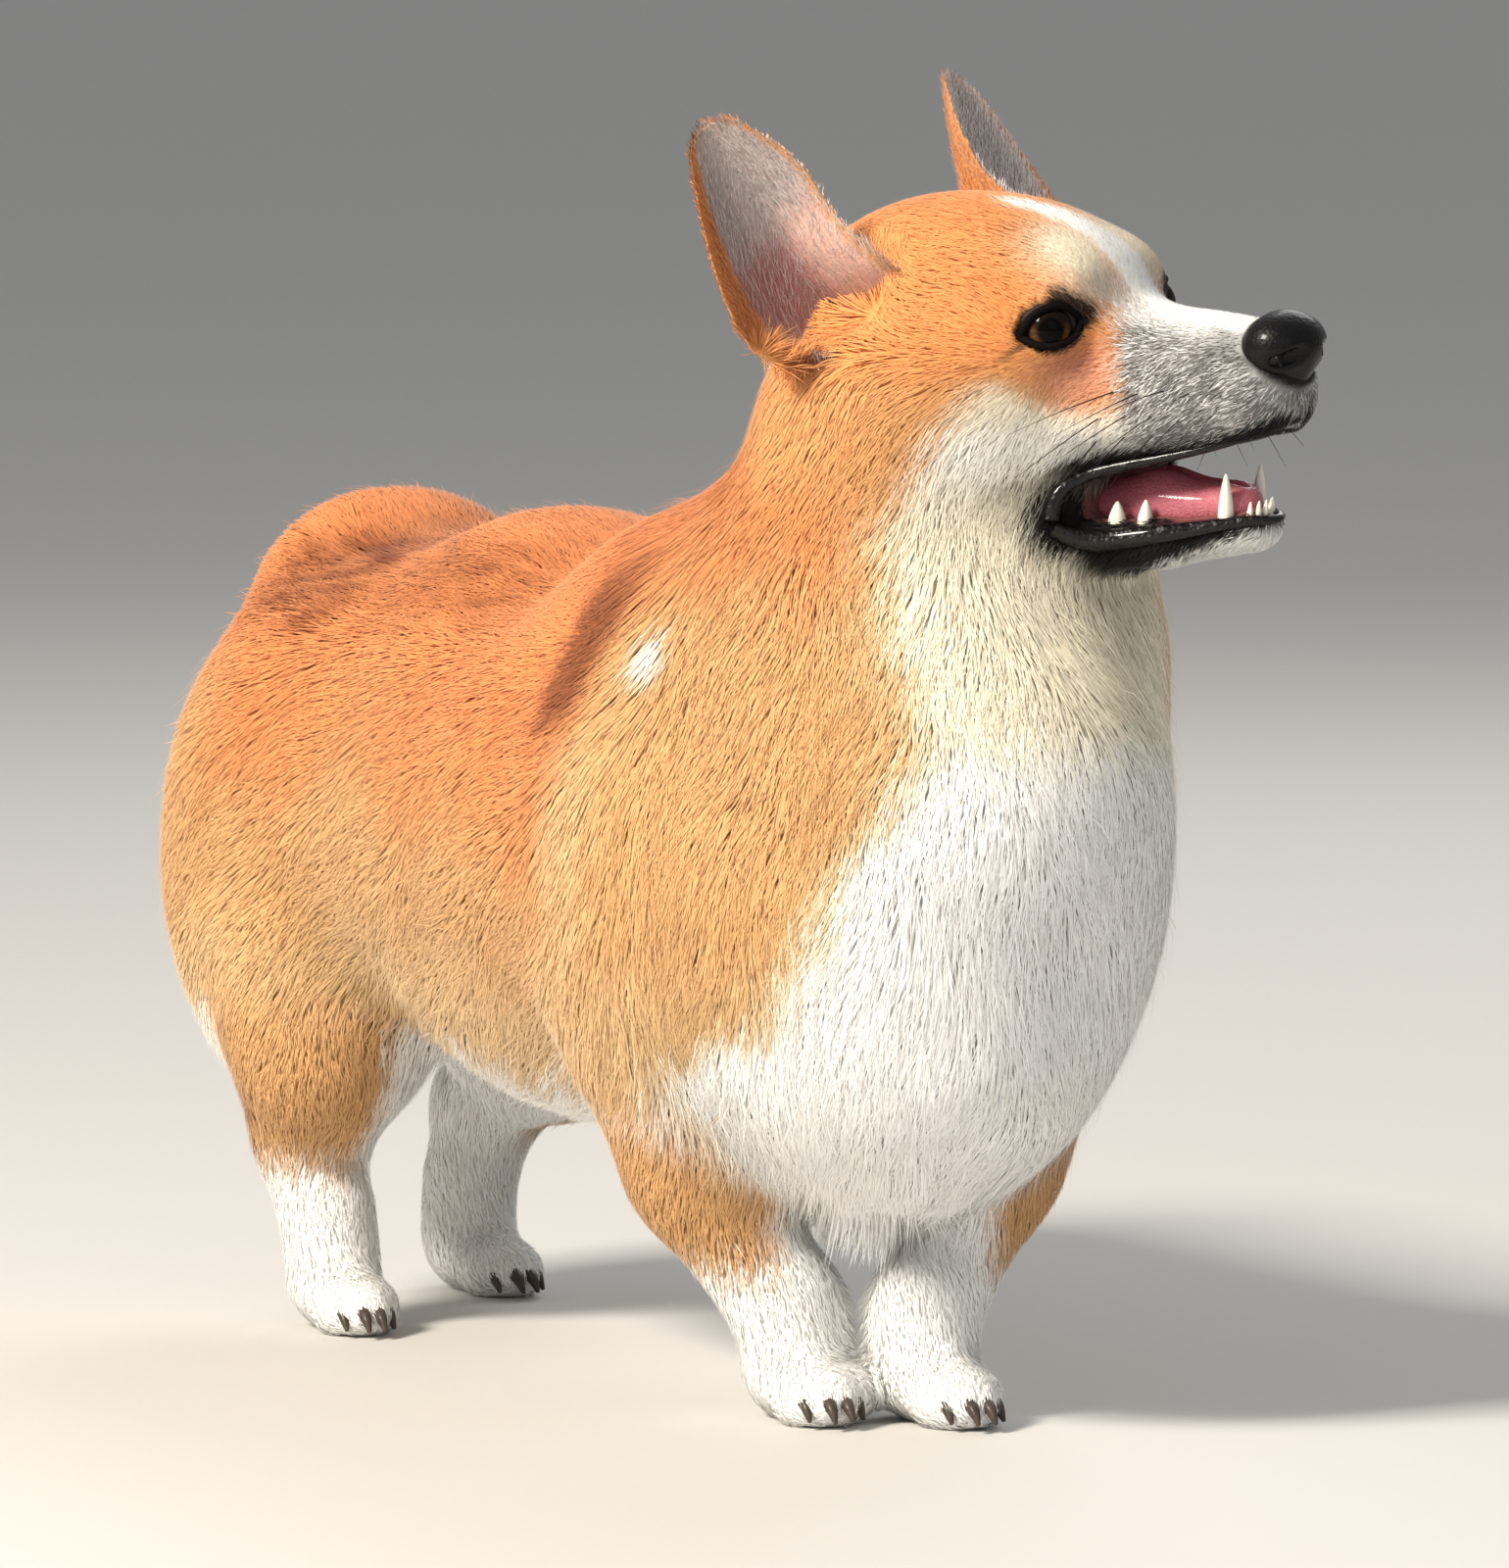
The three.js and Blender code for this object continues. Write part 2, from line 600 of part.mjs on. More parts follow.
function pawSolid(ankle, turn, radius, wide) {
  // In the paw's frame +X points to the toes, and its origin is on the floor under the ankle.
  const place = new THREE.Matrix4().makeRotationZ(radians(turn));
  place.setPosition(ankle[0], ankle[1], 0);
  const toes = [-1.5, -0.5, 0.5, 1.5].flatMap((n) => {
    const middle = Math.abs(n) < 1;
    const length = middle ? 34 : 27;
    const side = (n * wide) / 2.05;
    return [
      limb([0, side * 0.7, 14], 9, [length - 4, side, 9.5], middle ? 9.5 : 8.5, 5),
      ball([length, side * 1.02, 7.5], [9.5, middle ? 7 : 6.5, 8], 3),
    ];
  });
  const masses = [
    limb([0, 0, 40], radius, [2, 0, 20], radius, 10),
    ball([6, 0, 12], [22, wide * 0.95, 14], 12),
    ...toes,
  ];
  const body = joined(masses);
  const field = placed((p) => Math.max(body(p), -p.z), place);
  const put = (x, y, z) => vec(x, y, z).applyMatrix4(place).toArray();
  const claws = [-1.5, -0.5, 0.5, 1.5].map((n) => {
    const length = Math.abs(n) < 1 ? 34 : 27;
    const side = (n * wide) / 2;
    return spike([length + 4, side, 9], [length + 14, side * 1.06, 3.5], 2.6, [0, 0, 1.5], 5, place);
  });
  const front = vec(Math.cos(radians(turn)), Math.sin(radians(turn)), 0);
  const aside = [-front.y, front.x, 0];
  const top = ankle[2] - GAP;
  const line = [
    { at: put(0, 0, top), axis: [0, 0, -1], steps: 2 },
    { at: put(5, 0, 12), axis: front.clone().multiplyScalar(0.6).add(vec(0, 0, -0.8)).toArray(), steps: 3 },
    { at: put(16, 0, 9), axis: front.toArray(), steps: 0 },
  ];
  const paw = castSkin(field, line, { around: 16, roundEnd: 3, reach: 70, floor: true, up: aside });
  const overAnkle = wasm.Manifold.cube([90, 90, 50], true).translate([ankle[0], ankle[1], top + 25]);
  return claws.reduce((body, claw) => body.add(claw), paw.subtract(overAnkle));
}

const legs = {
  leg_fore_right: legOf([[116, -44, 124], [118, -38, 84], [134, -14, 30]], [34, 24, 16.5], 16, [1, 0, 0]),
  leg_fore_left: legOf([[136, 58, 124], [142, 53, 84], [158, 23, 30]], [34, 25, 16.5], 16, [1, 0, 0]),
  leg_hind_right: legOf(
    [[-156, -54, 134], [-154, -56, 100], [-172, -55, 66], [-160, -52, 26]],
    [40, 31, 17, 15],
    16,
    [1, 0, 0],
  ),
  leg_hind_left: legOf(
    [[-165, 52, 134], [-184, 53, 102], [-238, 43, 68], [-244, 38, 26]],
    [40, 31, 17, 15],
    16,
    [1, 0, 0],
  ),
};

// Tail, a bobbed one
const tailField = joined([limb([-236, 0, 247], 20, [-258, 0, 250], 13, 8)]);
const tailLine = [
  { at: [-232, 0, 250], axis: [-1, 0, 0.2], steps: 4 },
  { at: [-258, 0, 250], axis: [-1, 0, 0.2], steps: 0 },
];
const tailSkin = castSkin(tailField, tailLine, { around: 14, roundEnd: 3, reach: 50 });

// The long coat: tiers of locks on the neck, chest, thighs, belly, cheeks and tail
const lieDown = () => vec(-0.05, 0, -1);
const lieBack = () => vec(-0.55, 0, -0.83);
const lieOfNeck = (p) => vec(-0.1 - 0.006 * Math.max(160 - p.x, 0), 0, -1);
const collar = [0.5, 0.12, 0.86]; // the axis of the tiers round the neck and chest
const onCollar = (distance, back = 0) => [131 + 0.5 * distance - back, 10 + 0.12 * distance, 241 + 0.86 * distance];
const neckTiers = [
  { centre: onCollar(68), from: -150, to: 150, count: 9, length: 70, width: 42, rise: 8 },
  { centre: onCollar(26), from: -140, to: 140, count: 10, length: 78, width: 48, rise: 9 },
].map((tier) => ({ axis: collar, ahead: [1, 0.25, 0], lie: lieOfNeck, ...tier }));
const chestTiers = [
  { centre: onCollar(-18), from: -105, to: 100, count: 7, length: 76, width: 50, rise: 8 },
  { centre: onCollar(-56), from: -92, to: 90, count: 6, length: 74, width: 48, rise: 8 },
  { centre: [132, 6, 128], axis: [0, 0, 1], from: -66, to: 66, count: 5, length: 70, width: 38, rise: 6, hang: 0.3 },
].map((tier) => ({ axis: collar, ahead: [1, 0.1, 0], lie: lieDown, ...tier }));
const thighTiers = [
  { centre: [-150, 0, 180], from: -80, to: 80, count: 5, length: 70, width: 50, rise: 6 },
  { centre: [-150, 0, 134], from: -72, to: 72, count: 6, length: 58, width: 40, rise: 6, hang: 0.55 },
].map((tier) => ({ axis: [0, 0, 1], ahead: [-1, 0, 0], lie: lieDown, ...tier }));
const bellyTiers = bothSides((side) => [
  { centre: [86, side * 30, 150], second: [-110, side * 30, 150], from: side * 52, to: side * 52, count: 6 },
]).map((tier) => ({ axis: [1, 0, 0], ahead: [0, 0, -1], lie: lieBack, length: 62, width: 42, rise: 5, hang: 0.5, ...tier }));
const torsoTiers = [...chestTiers, ...thighTiers, ...bellyTiers];
const torsoLocks = (grown) => locksOf(trunkField, torsoTiers, 11, grown);
const lieOfCheek = () => vec(...wayInHead(-0.72, 0, -0.7));
const cheekTiers = bothSides((side) => [
  { centre: inHead(6, 0, -34), from: side * 66, to: side * 112, count: 2, length: 44, width: 30 },
  { centre: inHead(-12, 0, -34), from: side * 44, to: side * 116, count: 4, length: 48, width: 32 },
]).map((tier) => ({ axis: wayInHead(0.9, 0, 0.43), ahead: wayInHead(0, 0, -1), lie: lieOfCheek, rise: 6, thick: 5, scatter: 8, ...tier }));
const tailTiers = [
  { centre: [-246, 0, 249], axis: [1, 0, 0], ahead: [0, 0, 1], from: -150, to: 150, count: 5, scatter: 4 },
].map((tier) => ({ lie: () => vec(-0.6, 0, -0.8), length: 34, width: 24, rise: 4, thick: 5, hang: 0.5, ...tier }));
const cheekLocks = (grown) => locksOf(fleshField, cheekTiers, 37, grown);
const tailLocks = locksOf(tailField, tailTiers, 41);
const neckLocks = (grown) => locksOf(fleshField, neckTiers, 23, grown);

// The assembled dog

const dog = new THREE.Group();
dog.name = "corgi";

function addNode(name, solid, colour) {
  const mesh = largest(solid).simplify(FINEST).getMesh();
  const positions = new Float32Array(mesh.numVert * 3);
  for (let i = 0; i < mesh.numVert; i++) {
    positions.set(mesh.vertProperties.subarray(i * mesh.numProp, i * mesh.numProp + 3), i * 3);
  }
  const geometry = new THREE.BufferGeometry();
  geometry.setAttribute("position", new THREE.BufferAttribute(positions, 3));
  geometry.setIndex(new THREE.BufferAttribute(mesh.triVerts, 1));
  const material = new THREE.MeshStandardMaterial({ color: colour, roughness: 0.8, metalness: 0 });
  const node = new THREE.Mesh(geometry, material);
  node.name = name;
  dog.add(node);
}

const RED = 0xc9803f;
const WHITE = 0xefe9df;
const together = (body, pieces) => pieces.reduce((sum, piece) => sum.add(piece), body);
const apart = (body, pieces) => pieces.reduce((rest, piece) => rest.subtract(piece), body);
const legsRaised = Object.values(legs).map((leg) => leg(GAP));
const earsRaised = bothSides((side) => earSolid(side, GAP));
addNode("torso", together(torso, torsoLocks(0).map((lock) => apart(lock, [...legsRaised, neckRaised, ...neckLocks(GAP)]))), RED);
const clearOfNeckLocks = [torsoRaised, headRaised, jawRaised, ...earsRaised, ...cheekLocks(GAP)];
addNode("neck", together(neck, neckLocks(0).map((lock) => apart(lock, clearOfNeckLocks))), RED);
const cheeks = cheekLocks(0).map((lock) => apart(lock, [neckRaised, jawRaised, ...earsRaised]));
const faceUp = together(headSkin, [...cheeks, ...bothSides(lidBall), upperLip(-1), upperLip(1)]);
const head = apart(faceUp, [...bothSides(socket), ...bothSides(lidOpening)]);
addNode("head", head, RED);
const jawBare = apart(together(jawSkin, bothSides(lowerLip)), [headRaised, neckRaised, upperLip(-1, GAP), upperLip(1, GAP)]);
addNode("lower_jaw", together(jawBare, teeth), WHITE);
addNode("nose", noseSkin.subtract(headRaised), 0x17140f);
addNode("tongue", apart(tongueSkin, [headRaised, jawRaised, upperLip(-1, GAP), upperLip(1, GAP), ...bothSides(lowerLip), ...teeth]), 0xd07f86);
addNode("eye_right", eye(-1), 0x2a1a10);
addNode("eye_left", eye(1), 0x2a1a10);
addNode("ear_right", earSolid(-1).subtract(headRaised).subtract(neckRaised), RED);
addNode("ear_left", earSolid(1).subtract(headRaised).subtract(neckRaised), RED);
addNode("tail", together(tailSkin, tailLocks).subtract(torsoRaised), RED);
for (const [name, leg] of Object.entries(legs)) {
  addNode(name, leg(0).subtract(torsoRaised), WHITE);
}
addNode("paw_fore_right", pawSolid([134, -14, 30], -4, 16.5, 12), WHITE);
addNode("paw_fore_left", pawSolid([158, 23, 30], 0, 16.5, 12), WHITE);
addNode("paw_hind_right", pawSolid([-160, -52, 26], -4, 15, 11), WHITE);
addNode("paw_hind_left", pawSolid([-244, 38, 26], 4, 15, 11), WHITE);

// The origin is under the middle of the bounding box, on the floor
const box = new THREE.Box3().setFromObject(dog);
dog.position.set(-(box.min.x + box.max.x) / 2, -(box.min.y + box.max.y) / 2, 0);

export default dog;
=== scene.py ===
"""A Pembroke Welsh corgi at life size, walking, with its head turned and its mouth open.

The flesh is the same set of masses as in the part's source: balls and tapered limbs in millimetres, joined
smoothly. One skin is drawn over them, and the coat grows from that skin as solid tufts that follow its lie.
"""

import logging
import math
from dataclasses import dataclass, field
from enum import Enum
from functools import partial
from typing import Callable, Iterable, Sequence

import bmesh
import bpy
import numpy as np
from mathutils import Matrix, Vector
from mathutils.kdtree import KDTree


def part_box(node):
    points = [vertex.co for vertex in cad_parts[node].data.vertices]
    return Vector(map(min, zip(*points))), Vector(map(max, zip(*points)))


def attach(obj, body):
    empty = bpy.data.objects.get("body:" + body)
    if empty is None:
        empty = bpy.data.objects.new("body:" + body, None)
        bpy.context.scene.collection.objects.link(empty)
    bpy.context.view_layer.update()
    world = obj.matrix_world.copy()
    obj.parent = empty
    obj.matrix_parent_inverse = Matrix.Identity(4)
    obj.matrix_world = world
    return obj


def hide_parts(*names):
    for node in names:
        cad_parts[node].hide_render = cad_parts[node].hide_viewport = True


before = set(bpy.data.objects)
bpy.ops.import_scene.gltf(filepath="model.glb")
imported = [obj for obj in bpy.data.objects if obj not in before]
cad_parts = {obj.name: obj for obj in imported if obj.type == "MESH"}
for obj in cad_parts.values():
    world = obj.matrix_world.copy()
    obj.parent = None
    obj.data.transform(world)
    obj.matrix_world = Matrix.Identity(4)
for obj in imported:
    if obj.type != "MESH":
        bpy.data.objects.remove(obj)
log = logging.getLogger("corgi")

Array = np.ndarray
Object = bpy.types.Object
Spot = Sequence[float]
DistanceField = Callable[[Array], Array]
SlopeField = Callable[[Array], tuple[Array, Array]]

# Sizes are millimetres and angles degrees, unless a name or a comment says otherwise.

MM = 0.001
FAR = 200.0  # the distance given to spots outside the margin of a form's box
MARGIN = 40.0  # how far outside that box distances are still worked out
VOID = 1e4  # a distance larger than any, which the first mass replaces
LEAST_STEEP = 0.35  # a field's gradient is taken to be at least this steep
FLOOR_GAP = 0.0002  # what the coat leaves free above the floor, in metres
TUFT_PATCH = 0.003  # the side of a tuft's patch on the baked map, whose own side is 1
CORNERS = np.array([[1, -1, -1], [-1, -1, 1], [-1, 1, -1], [1, 1, 1]], float)


# Small helpers


def linear(code: str) -> Array:
    """Turns an sRGB hex colour to linear values.

    Args:
        code: the colour as six hex digits, with or without a leading hash.

    Returns:
        Red, green and blue from 0 to 1.
    """
    digits = code.lstrip("#")
    parts = [int(digits[i : i + 2], 16) / 255 for i in (0, 2, 4)]
    return np.array([c / 12.92 if c <= 0.04045 else ((c + 0.055) / 1.055) ** 2.4 for c in parts])


def ramp(values: Array, low: float, high: float) -> Array:
    """Smooth step.

    Args:
        values: what is stepped.
        low: where the step is 0.
        high: where the step is 1; it may be below low.

    Returns:
        Values from 0 to 1.
    """
    t = np.clip((values - low) / (high - low), 0, 1)
    return t * t * (3 - 2 * t)


def bump(values: Array, middle: float, half: float) -> Array:
    """A round hill that is 1 at its middle and 0 from half away on."""
    return ramp(np.abs(values - middle), half, 0)


def unit(vectors: Array) -> Array:
    """Vectors brought to length 1."""
    return vectors / np.maximum(np.linalg.norm(vectors, axis=-1, keepdims=True), 1e-9)


def smooth_min(a: Array, b: Array, blend: float) -> Array:
    """The lesser of two distances, rounded where they are within blend of each other."""
    h = np.maximum(blend - np.abs(a - b), 0) / blend
    return np.minimum(a, b) - h * h * blend / 4


def mottle(spots: Array, size: float) -> Array:
    """Soft, irregular patches of about a size in millimetres, from -1 to 1."""
    x, y, z = (spots / size).T
    first = np.sin(x * 1.7 + 2.0 * np.sin(y * 1.1 + z * 0.7)) * np.sin(z * 1.9 + 1.7 * np.sin(x * 1.3 - y))
    second = np.sin(y * 3.1 + 1.5 * np.sin(z * 2.3) + 1) * np.sin(x * 3.7 - z * 2.1 + 2)
    return 0.65 * first + 0.35 * second


def both_sides(make: Callable[[int], object]) -> list:
    """What make gives for the right side, -1, and the left side, 1, in one list."""
    made = []
    for side in (-1, 1):
        one = make(side)
        made.extend(one if isinstance(one, list) else [one])
    return made


# Masses and fields


@dataclass(frozen=True)
class Ball:
    """An ellipsoid mass: its centre, its three radii and how widely it blends, in millimetres."""

    centre: Spot
    radii: Spot
    blend: float = 12

    def distance(self, spots: Array) -> Array:
        """Distance from each spot to the surface, negative inside."""
        q = spots - np.array(self.centre)
        r = np.array(self.radii)
        near = np.sqrt((q / r) ** 2 @ np.ones(3))
        slope = np.sqrt((q / r**2) ** 2 @ np.ones(3))
        return near * (near - 1) / np.maximum(slope, 1e-9)

    def beads(self) -> list[tuple[Spot, Spot]]:
        """Centres and radii of the balls that fill this mass."""
        return [(self.centre, self.radii)]


@dataclass(frozen=True)
class Limb:
    """A tapered mass with round ends, in millimetres."""

    start: Spot
    start_radius: float
    end: Spot
    end_radius: float
    blend: float = 12

    def distance(self, spots: Array) -> Array:
        """Distance from each spot to the surface, negative inside."""
        along = np.array(self.end, float) - np.array(self.start, float)
        length = float(np.linalg.norm(along))
        along /= length
        taper = (self.start_radius - self.end_radius) / length
        steep = math.sqrt(max(1 - taper * taper, 0))
        q = spots - np.array(self.start)
        y = q @ along
        x = np.sqrt(np.maximum(q**2 @ np.ones(3) - y * y, 0))
        k = y * steep - x * taper
        side = x * steep + y * taper - self.start_radius
        low = np.hypot(x, y) - self.start_radius
        high = np.hypot(x, y - length) - self.end_radius
        return np.where(k < 0, low, np.where(k > steep * length, high, side))

    def beads(self) -> list[tuple[Spot, Spot]]:
        """Centres and radii of the balls that fill this mass."""
        a = np.array(self.start, float)
        b = np.array(self.end, float)
        count = max(2, math.ceil(np.linalg.norm(b - a) / (0.45 * min(self.start_radius, self.end_radius))))
        made = []
        for t in np.linspace(0, 1, count + 1):
            r = self.start_radius + (self.end_radius - self.start_radius) * t
            made.append((tuple(a + (b - a) * t), (r, r, r)))
        return made


Mass = Ball | Limb


def turned(yaw: float, roll: float, origin: Spot) -> Matrix:
    """A place turned about the upright by yaw and then about its own forward axis by roll, in degrees."""
    turn = Matrix.Rotation(math.radians(yaw), 4, "Z") @ Matrix.Rotation(math.radians(roll), 4, "X")
    return Matrix.Translation(origin) @ turn


@dataclass
class Form:
    """Masses joined smoothly, with hollows scooped out, in a place of their own."""

    masses: list[Mass]
    place: Matrix = field(default_factory=lambda: Matrix.Identity(4))
    hollows: list[Mass] = field(default_factory=list)

    def __post_init__(self) -> None:
        """Works out the box that the masses fill and the place as arrays."""
        beads = [b for m in self.masses for b in m.beads()]
        centres = np.array([c for c, _ in beads], float)
        radii = np.array([r for _, r in beads], float)
        self.low = (centres - radii).min(0)
        self.high = (centres + radii).max(0)
        self.turn = np.array(self.place.to_3x3())
        self.origin = np.array(self.place.to_translation())

    def local(self, spots: Array) -> Array:
        """Spots of the body's frame in this form's own frame."""
        return (spots - self.origin) @ self.turn

    def out(self, spots: Array) -> Array:
        """Spots of this form's own frame in the body's frame."""
        return np.asarray(spots, float) @ self.turn.T + self.origin

    def way(self, vectors: Array) -> Array:
        """Directions of this form's own frame in the body's frame."""
        return np.asarray(vectors, float) @ self.turn.T

    def distance(self, spots: Array) -> Array:
        """Distance to the joined masses, or FAR for spots outside the margin of their box."""
        q = self.local(spots)
        near = np.all((q > self.low - MARGIN) & (q < self.high + MARGIN), axis=1)
        d = np.full(len(spots), FAR)
        if near.any():
            q = q[near]
            inner = np.full(len(q), VOID)
            for mass in self.masses:
                inner = smooth_min(inner, mass.distance(q), mass.blend)
            for hollow in self.hollows:
                inner = -smooth_min(-inner, hollow.distance(q), hollow.blend)
            d[near] = inner
        return d


HEAD = turned(29, 6, (172, 46, 370))


def chain(spots: Sequence[Spot], radii: Sequence[float], blend: float = 16) -> list[Mass]:
    """Limbs end to end through the spots."""
    pairs = zip(spots[:-1], radii[:-1], spots[1:], radii[1:])
    return [Limb(a, ra, b, rb, blend) for a, ra, b, rb in pairs]


def field_slope(distance: DistanceField, spots: Array, step: float) -> tuple[Array, Array]:
    """A field's value and gradient, from four corners of a small cube round each spot.

    Args:
        distance: gives the field's value at spots.
        spots: where both are wanted.
        step: half the cube's side.

    Returns:
        The value, and the gradient.
    """
    values = [distance(spots + corner * step) for corner in CORNERS]
    gradient = sum(corner[None] * v[:, None] for corner, v in zip(CORNERS, values)) / (4 * step)
    return sum(values) / 4, gradient


@dataclass
class Eye:
    """Where one eye sits in the head's frame, and its sizes.

    lid is the lids' thickness, blend how softly they join the face, reach how far the eye alters the face
    round it, and socket the radius of the hollow behind the opening.
    """

    side: int
    radius: float = 10.5
    lid: float = 2.0
    half_width: float = 9.8
    half_height: float = 5.2
    droop: float = 9.0
    blend: float = 5.0
    reach: float = 26.0
    socket: float = 9.2

    def __post_init__(self) -> None:
        """Works out the eye's own axes: across, up and out."""
        self.centre = np.array([34.5, 28.0 * self.side, -4.0])
        look = unit(np.array([0.79, 0.61 * self.side, 0.05]))
        across = unit(np.cross([0, 0, 1], look)) * self.side
        up = np.cross(look, across) * self.side
        lean = math.radians(self.droop)
        self.look = look
        self.across = across * math.cos(lean) - up * math.sin(lean)
        self.up = across * math.sin(lean) + up * math.cos(lean)

    def local(self, q: Array) -> Array:
        """Spots of the head's frame as outward, up and forward from the eye's centre."""
        return (q - self.centre) @ np.stack([self.across, self.up, self.look], axis=1)

    def slit(self, e: Array) -> Array:
        """Signed distance across the lids' opening, negative inside it."""
        u = np.clip(np.abs(e[:, 0]) / self.half_width, 0, 1)
        half = self.half_height * (1 - u**2.2) ** 0.9
        past = np.maximum(np.abs(e[:, 0]) - self.half_width, 0)
        lift = np.where(e[:, 1] > 0, 1.12, 0.88)
        above = np.abs(e[:, 1]) / lift - half
        return np.hypot(np.maximum(above, 0), past) + np.minimum(above, 0)


@dataclass
class Anatomy:
    """The dog's masses by part, with the sizes that the part's source gives them.

    The blends say how softly each part joins what it grows from.
    """

    rump_half: float = 91
    shoulder_half: float = 102
    skull_half: float = 50
    neck_blend: float = 24
    head_blend: float = 24
    jaw_blend: float = 7
    tail_blend: float = 14
    paw_blend: float = 8
    leg_blend: float = 18

    def __post_init__(self) -> None:
        """Builds the forms of the parts."""
        self.torso = Form(
            [
                Ball((50, 2, 187), (170, 100, 92), 20),
                Ball((150, 10, 172), (99, 95, 88), 30),
                Ball((-80, 0, 187), (130, 88, 84), 30),
                Ball((-161, 0, 192), (92, self.rump_half, 84), 30),
                Ball((-218, 0, 248), (44, 54, 43), 22),
                Ball((-66, 0, 238), (74, 56, 53), 26),
                Ball((90, -2, 253), (84, 66, 51), 24),
                Ball((158, 12, 122), (84, 58, 48), 30),
                Ball((0, 0, 130), (120, 60, 44), 30),
                *both_sides(
                    lambda s: [
                        Ball((120, 8 + s * 56, 182), (60, self.shoulder_half - 56, 84), 24),
                        Ball((-190, s * 42, 162), (68, 55, 90), 24),
                    ]
                ),
            ]
        )
        self.neck = Form(
            [
                Limb((134, 14, 238), 74, (152, 38, 318), 60, 20),
                Ball((148, 30, 250), (66, 82, 76), 24),
                Limb((194, 28, 210), 60, (174, 38, 240), 46, 30),
            ]
        )
        self.palate = Limb((30, 0, -58), 15, (100, 0, -42), 7, 5)
        self.head = Form(
            [
                Ball((-16, 0, -6), (60, self.skull_half, 42), 10),
                Ball((16, 0, -5), (36, 36, 30), 20),
                Ball((62, 0, -22), (50, 21, 19), 18),
                Limb((60, 0, -19), 16, (102, 0, -18), 13.5, 12),
                Ball((-25, 0, -42), (50, 48, 44), 20),
                *both_sides(
                    lambda s: [
                        Ball((-4, s * 34, -26), (40, 22, 34), 18),
                        Ball((-26, s * 44, -42), (36, 32, 40), 24),
                        Ball((30, s * 19, 9), (15, 12, 9), 10),
                        Limb((42, s * 18, -38), 14.5, (100, s * 8.5, -31), 11, 12),
                        Ball((8, s * 22, -66), (24, 14, 20), 16),
                    ]
                ),
            ],
            HEAD,
            [self.palate, *both_sides(lambda s: Ball((-29, s * 55, 9), (16, 14, 15), 6))],
        )
        self.jaw = Form(
            [
                *both_sides(
                    lambda s: [
                        Limb((16, s * 23, -77), 12, (66, s * 13.5, -75.5), 7.5, 8),
                        Limb((66, s * 13.5, -75.5), 7.5, (94, s * 5, -71), 5.2, 6),
                    ]
                ),
                Limb((10, 0, -84), 12, (94, 0, -73), 4.5, 12),
            ],
            HEAD,
        )
        self.tail = Form([Limb((-236, 0, 247), 20, (-258, 0, 250), 13, 8)])
        self.eyes = [Eye(-1), Eye(1)]
        fore = (34, 24.5, 16.5)
        hind = (40, 31, 17, 15)
        legs = {
            "fore_right": (((116, -44, 124), (118, -38, 84), (134, -14, 30)), fore),
            "fore_left": (((136, 58, 124), (142, 53, 84), (158, 23, 30)), fore),
            "hind_right": (((-156, -54, 134), (-154, -56, 100), (-172, -55, 66), (-160, -52, 26)), hind),
            "hind_left": (((-165, 52, 134), (-184, 53, 102), (-238, 43, 68), (-244, 38, 26)), hind),
        }
        feet = {
            "fore_right": ((134, -14), -4, 16.5, 12),
            "fore_left": ((158, 23), 0, 16.5, 12),
            "hind_right": ((-160, -52), -4, 15, 11),
            "hind_left": ((-244, 38), 4, 15, 11),
        }
        self.legs = {n: Form(chain(s, r)) for n, (s, r) in legs.items()}
        self.paws = {n: self.paw(*f) for n, f in feet.items()}

    @staticmethod
    def paw(at: Spot, turn: float, radius: float, wide: float) -> Form:
        """One paw, with its frame's origin on the floor under the ankle and its toes along x."""
        masses: list[Mass] = [
            Limb((0, 0, 40), radius, (2, 0, 20), radius, 10),
            Ball((6, 0, 12), (22, 0.95 * wide, 14), 12),
        ]
        for n in (-1.5, -0.5, 0.5, 1.5):
            middle = abs(n) < 1
            length = 34 if middle else 27
            side = n * wide / 2.05
            masses.append(Limb((0, 0.7 * side, 14), 9, (length - 4, side, 9.5), 9.5 if middle else 8.5, 5))
            masses.append(Ball((length, 1.02 * side, 7.5), (9.5, 7 if middle else 6.5, 8), 3))
        return Form(masses, turned(turn, 0, (*at, 0)))

    def parts(self, spots: Array) -> dict[str, Array]:
        """Distances to each part, with the four legs as one and the four paws as one."""
        found = {n: getattr(self, n).distance(spots) for n in ("torso", "neck", "head", "jaw", "tail")}
        found["leg"] = np.min([f.distance(spots) for f in self.legs.values()], axis=0)
        found["paw"] = np.min([f.distance(spots) for f in self.paws.values()], axis=0)
        return found

    def distance(self, spots: Array) -> Array:
        """Distance to the whole body's surface, negative inside, with the lids' openings left open."""
        d = smooth_min(self.torso.distance(spots), self.neck.distance(spots), self.neck_blend)
        d = smooth_min(d, self.head.distance(spots), self.head_blend)
        d = smooth_min(d, self.jaw.distance(spots), self.jaw_blend)
        d = smooth_min(d, self.tail.distance(spots), self.tail_blend)
        for name, leg in self.legs.items():
            limb = smooth_min(leg.distance(spots), self.paws[name].distance(spots), self.paw_blend)
            d = smooth_min(d, limb, self.leg_blend)
        q = self.head.local(spots)
        for eye in self.eyes:
            near = np.abs(q - eye.centre).max(1) < eye.reach
            if near.any():
                e = eye.local(q[near])
                away = np.linalg.norm(e, axis=1)
                lids = smooth_min(d[near], away - eye.radius - eye.lid, eye.blend)
                cut = np.maximum(eye.slit(e), eye.socket - away)
                d[near] = np.where(e[:, 2] > 0, np.maximum(lids, -cut), d[near])
        return d

    def slope(self, spots: Array, step: float = 0.6) -> tuple[Array, Array]:
        """Distance to the body's surface and its gradient, taken over twice the step."""
        return field_slope(self.distance, spots, step)


# The place of the model in the CAD frame


